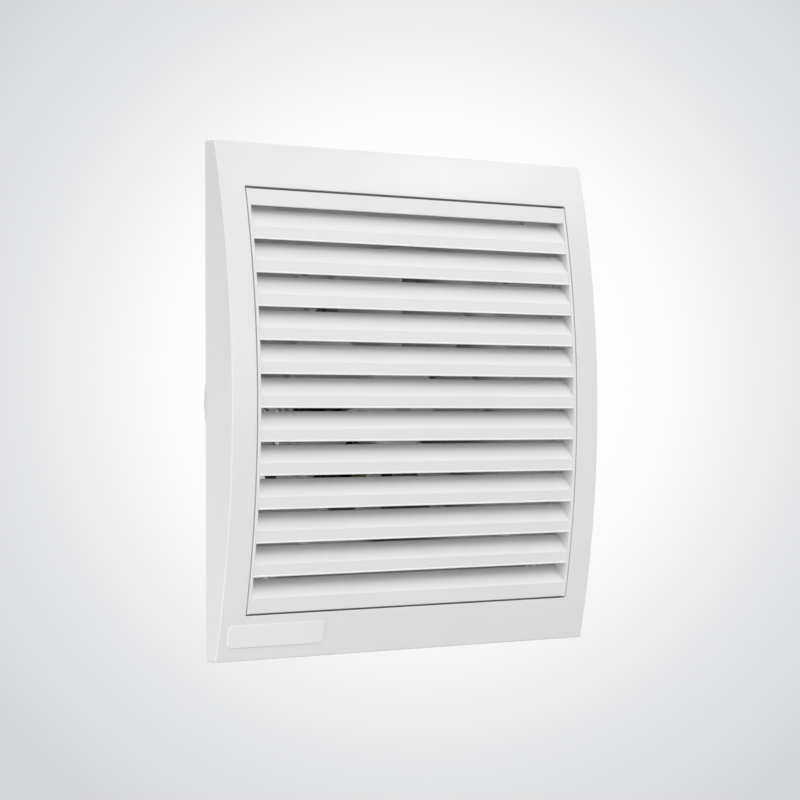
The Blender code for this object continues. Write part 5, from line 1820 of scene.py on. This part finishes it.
@dataclass
class Studio:
    """The camera, the lamps, the pale world and the floor under the fan."""

    place: Triple = (-1.03416, -1.12688, -0.01067)
    yaw: float = 0.743130008
    pitch: float = 0.00750606752
    roll: float = -0.00259381625
    lens: float = 135.9018
    floor_height: float = -0.36
    floor_radius: float = 1.05
    glow: float = 1.55
    glow_from: Triple = (-0.09, -0.44, 0.89)
    level: float = 0.0
    floor_seen: float = 0.80
    floor_bounce: float = 0.50

    def axes(self) -> tuple[Vector, Vector, Vector]:
        """The directions of the photograph's camera.

        Returns:
            The camera's right, its up and the way that it looks.
        """
        level = math.cos(self.pitch)
        x, y = math.sin(self.yaw) * level, math.cos(self.yaw) * level
        ahead = Vector((x, y, math.sin(self.pitch)))
        right = Vector((math.cos(self.yaw), -math.sin(self.yaw), 0))
        up = right.cross(ahead)
        right = math.cos(self.roll) * right + math.sin(self.roll) * up
        return right, right.cross(ahead), ahead

    def camera(self) -> None:
        """The camera at the photograph's place."""
        data = bpy.data.cameras.new("camera")
        data.lens = self.lens
        data.sensor_width = 36.0
        data.sensor_fit = "HORIZONTAL"
        right, up, ahead = self.axes()
        turn = Matrix((right, up, -ahead)).transposed()
        camera = link_piece("camera", data)
        camera.matrix_world = Matrix.Translation(self.place) @ turn.to_4x4()
        bpy.context.scene.camera = camera

    def lamp(
        self, name: str, place: Triple, width: float, height: float, power: float,
        mirrored: bool = True,
    ) -> None:
        """A soft lamp that looks at the fan.

        Args:
            name: Name of the lamp.
            place: Where it stands.
            width: Its width.
            height: Its height.
            power: Its power in watts.
            mirrored: Whether glossy surfaces show it.
        """
        data = bpy.data.lights.new(name, "AREA")
        data.shape = "RECTANGLE"
        data.size = width
        data.size_y = height
        data.energy = power
        lamp = link_piece(name, data)
        turn = (-Vector(place)).to_track_quat("-Z", "Y").to_matrix().to_4x4()
        lamp.matrix_world = Matrix.Translation(place) @ turn
        lamp.visible_glossy = mirrored
        lamp.visible_camera = False

    def world(self) -> None:
        """A pale background that darkens outwards, and a broad glow from above the front."""
        world = bpy.data.worlds.new("studio")
        bpy.context.scene.world = world
        world.use_nodes = True
        world.node_tree.nodes.clear()
        graph = Graph(world.node_tree)
        where = graph.add("ShaderNodeTexCoord").outputs["Generated"]
        right, up, ahead = self.axes()
        middle = (ahead + 0.006 * right + 0.011 * up).normalized()
        away = graph.maths("SUBTRACT", 1.0, graph.measure("DOT_PRODUCT", where, middle))
        ramp = graph.add("ShaderNodeValToRGB", {"Fac": graph.maths("DIVIDE", away, 0.05)})
        stops = (
            (0.0, (1.0, 1.0, 1.0)), (0.053, (0.98, 0.98, 0.98)), (0.165, (0.79, 0.795, 0.805)),
            (0.322, (0.655, 0.665, 0.685)), (1.0, (0.78, 0.79, 0.80)),
        )
        elements = ramp.color_ramp.elements
        elements[0].color = (*stops[0][1], 1.0)
        elements[1].color = (*stops[-1][1], 1.0)
        for position, colour in stops[1:-1]:
            elements.new(position).color = (*colour, 1.0)
        rays = graph.add("ShaderNodeLightPath").outputs
        seen = graph.maths("MAXIMUM", rays["Is Camera Ray"], rays["Is Glossy Ray"])
        seen = graph.maths("MAXIMUM", seen, rays["Is Transmission Ray"])
        near = graph.measure("DOT_PRODUCT", where, self.glow_from)
        strength = graph.ranged(near, (0.0, 1.0), (self.level, self.glow))
        white = {"Color": (1.0, 1.0, 1.0, 1.0), "Strength": strength}
        light = graph.add("ShaderNodeBackground", white).outputs[0]
        shown = graph.add("ShaderNodeBackground", {"Color": ramp.outputs[0]}).outputs[0]
        mix = graph.add("ShaderNodeMixShader", {0: seen, 1: light, 2: shown}).outputs[0]
        graph.add("ShaderNodeOutputWorld", {"Surface": mix})

    def floor(self) -> None:
        """A round pale floor whose edge fades out."""
        shape = bmesh.new()
        bmesh.ops.create_circle(shape, cap_ends=True, segments=96, radius=self.floor_radius)
        floor = from_shape("floor", shape, closed=False)
        floor.location = (0, 0, self.floor_height)
        paint = bpy.data.materials.new("floor_paint")
        paint.use_nodes = True
        graph = Graph(paint.node_tree)
        seen = graph.add("ShaderNodeLightPath").outputs["Is Camera Ray"]
        pale = graph.ranged(seen, (0.0, 1.0), (self.floor_bounce, self.floor_seen))
        colour = graph.add("ShaderNodeCombineColor", {0: pale, 1: pale, 2: pale}).outputs[0]
        reach = graph.measure("LENGTH", graph.add("ShaderNodeTexCoord").outputs["Object"])
        span = (self.floor_radius * 0.55, self.floor_radius * 0.98)
        fade = graph.ranged(reach, span, (1.0, 0.0), "SMOOTHSTEP")
        inputs = {"Roughness": 0.8, "Base Color": colour, "Alpha": fade}
        graph.feed(paint.node_tree.nodes["Principled BSDF"], inputs)
        floor.data.materials.append(paint)

    def build(self) -> None:
        """Sets up the view, the light and the floor."""
        self.camera()
        self.world()
        self.lamp("key_lamp", (-1.2, -3.3, 3.3), 2.4, 2.4, 34.0)
        self.lamp("sheen_lamp", (1.43, -1.32, 0.825), 0.2, 0.2, 1.35)
        self.lamp("edge_lamp", (1.18, -1.73, 0.35), 0.35, 0.8, 2.2)
        self.lamp("side_lamp", (-0.8, -0.12, -0.45), 0.5, 0.5, 7.5, mirrored=False)
        self.lamp("rear_lamp", (1.2, 3.0, 0.6), 2.0, 1.2, 60.0)
        self.floor()
        bpy.context.scene.view_settings.view_transform = "Standard"


def main() -> None:
    """Builds the fan in order, then the studio round it."""
    logging.basicConfig(level=logging.INFO, format="%(message)s")
    fan = (FrontCover, LouvreInsert, DuctHousing, BackdraughtFlap, FanWheel, ShadedPoleMotor, Wiring)
    for assembly in (*fan, Studio):
        assembly().build()


if __name__ == "__main__":
    main()
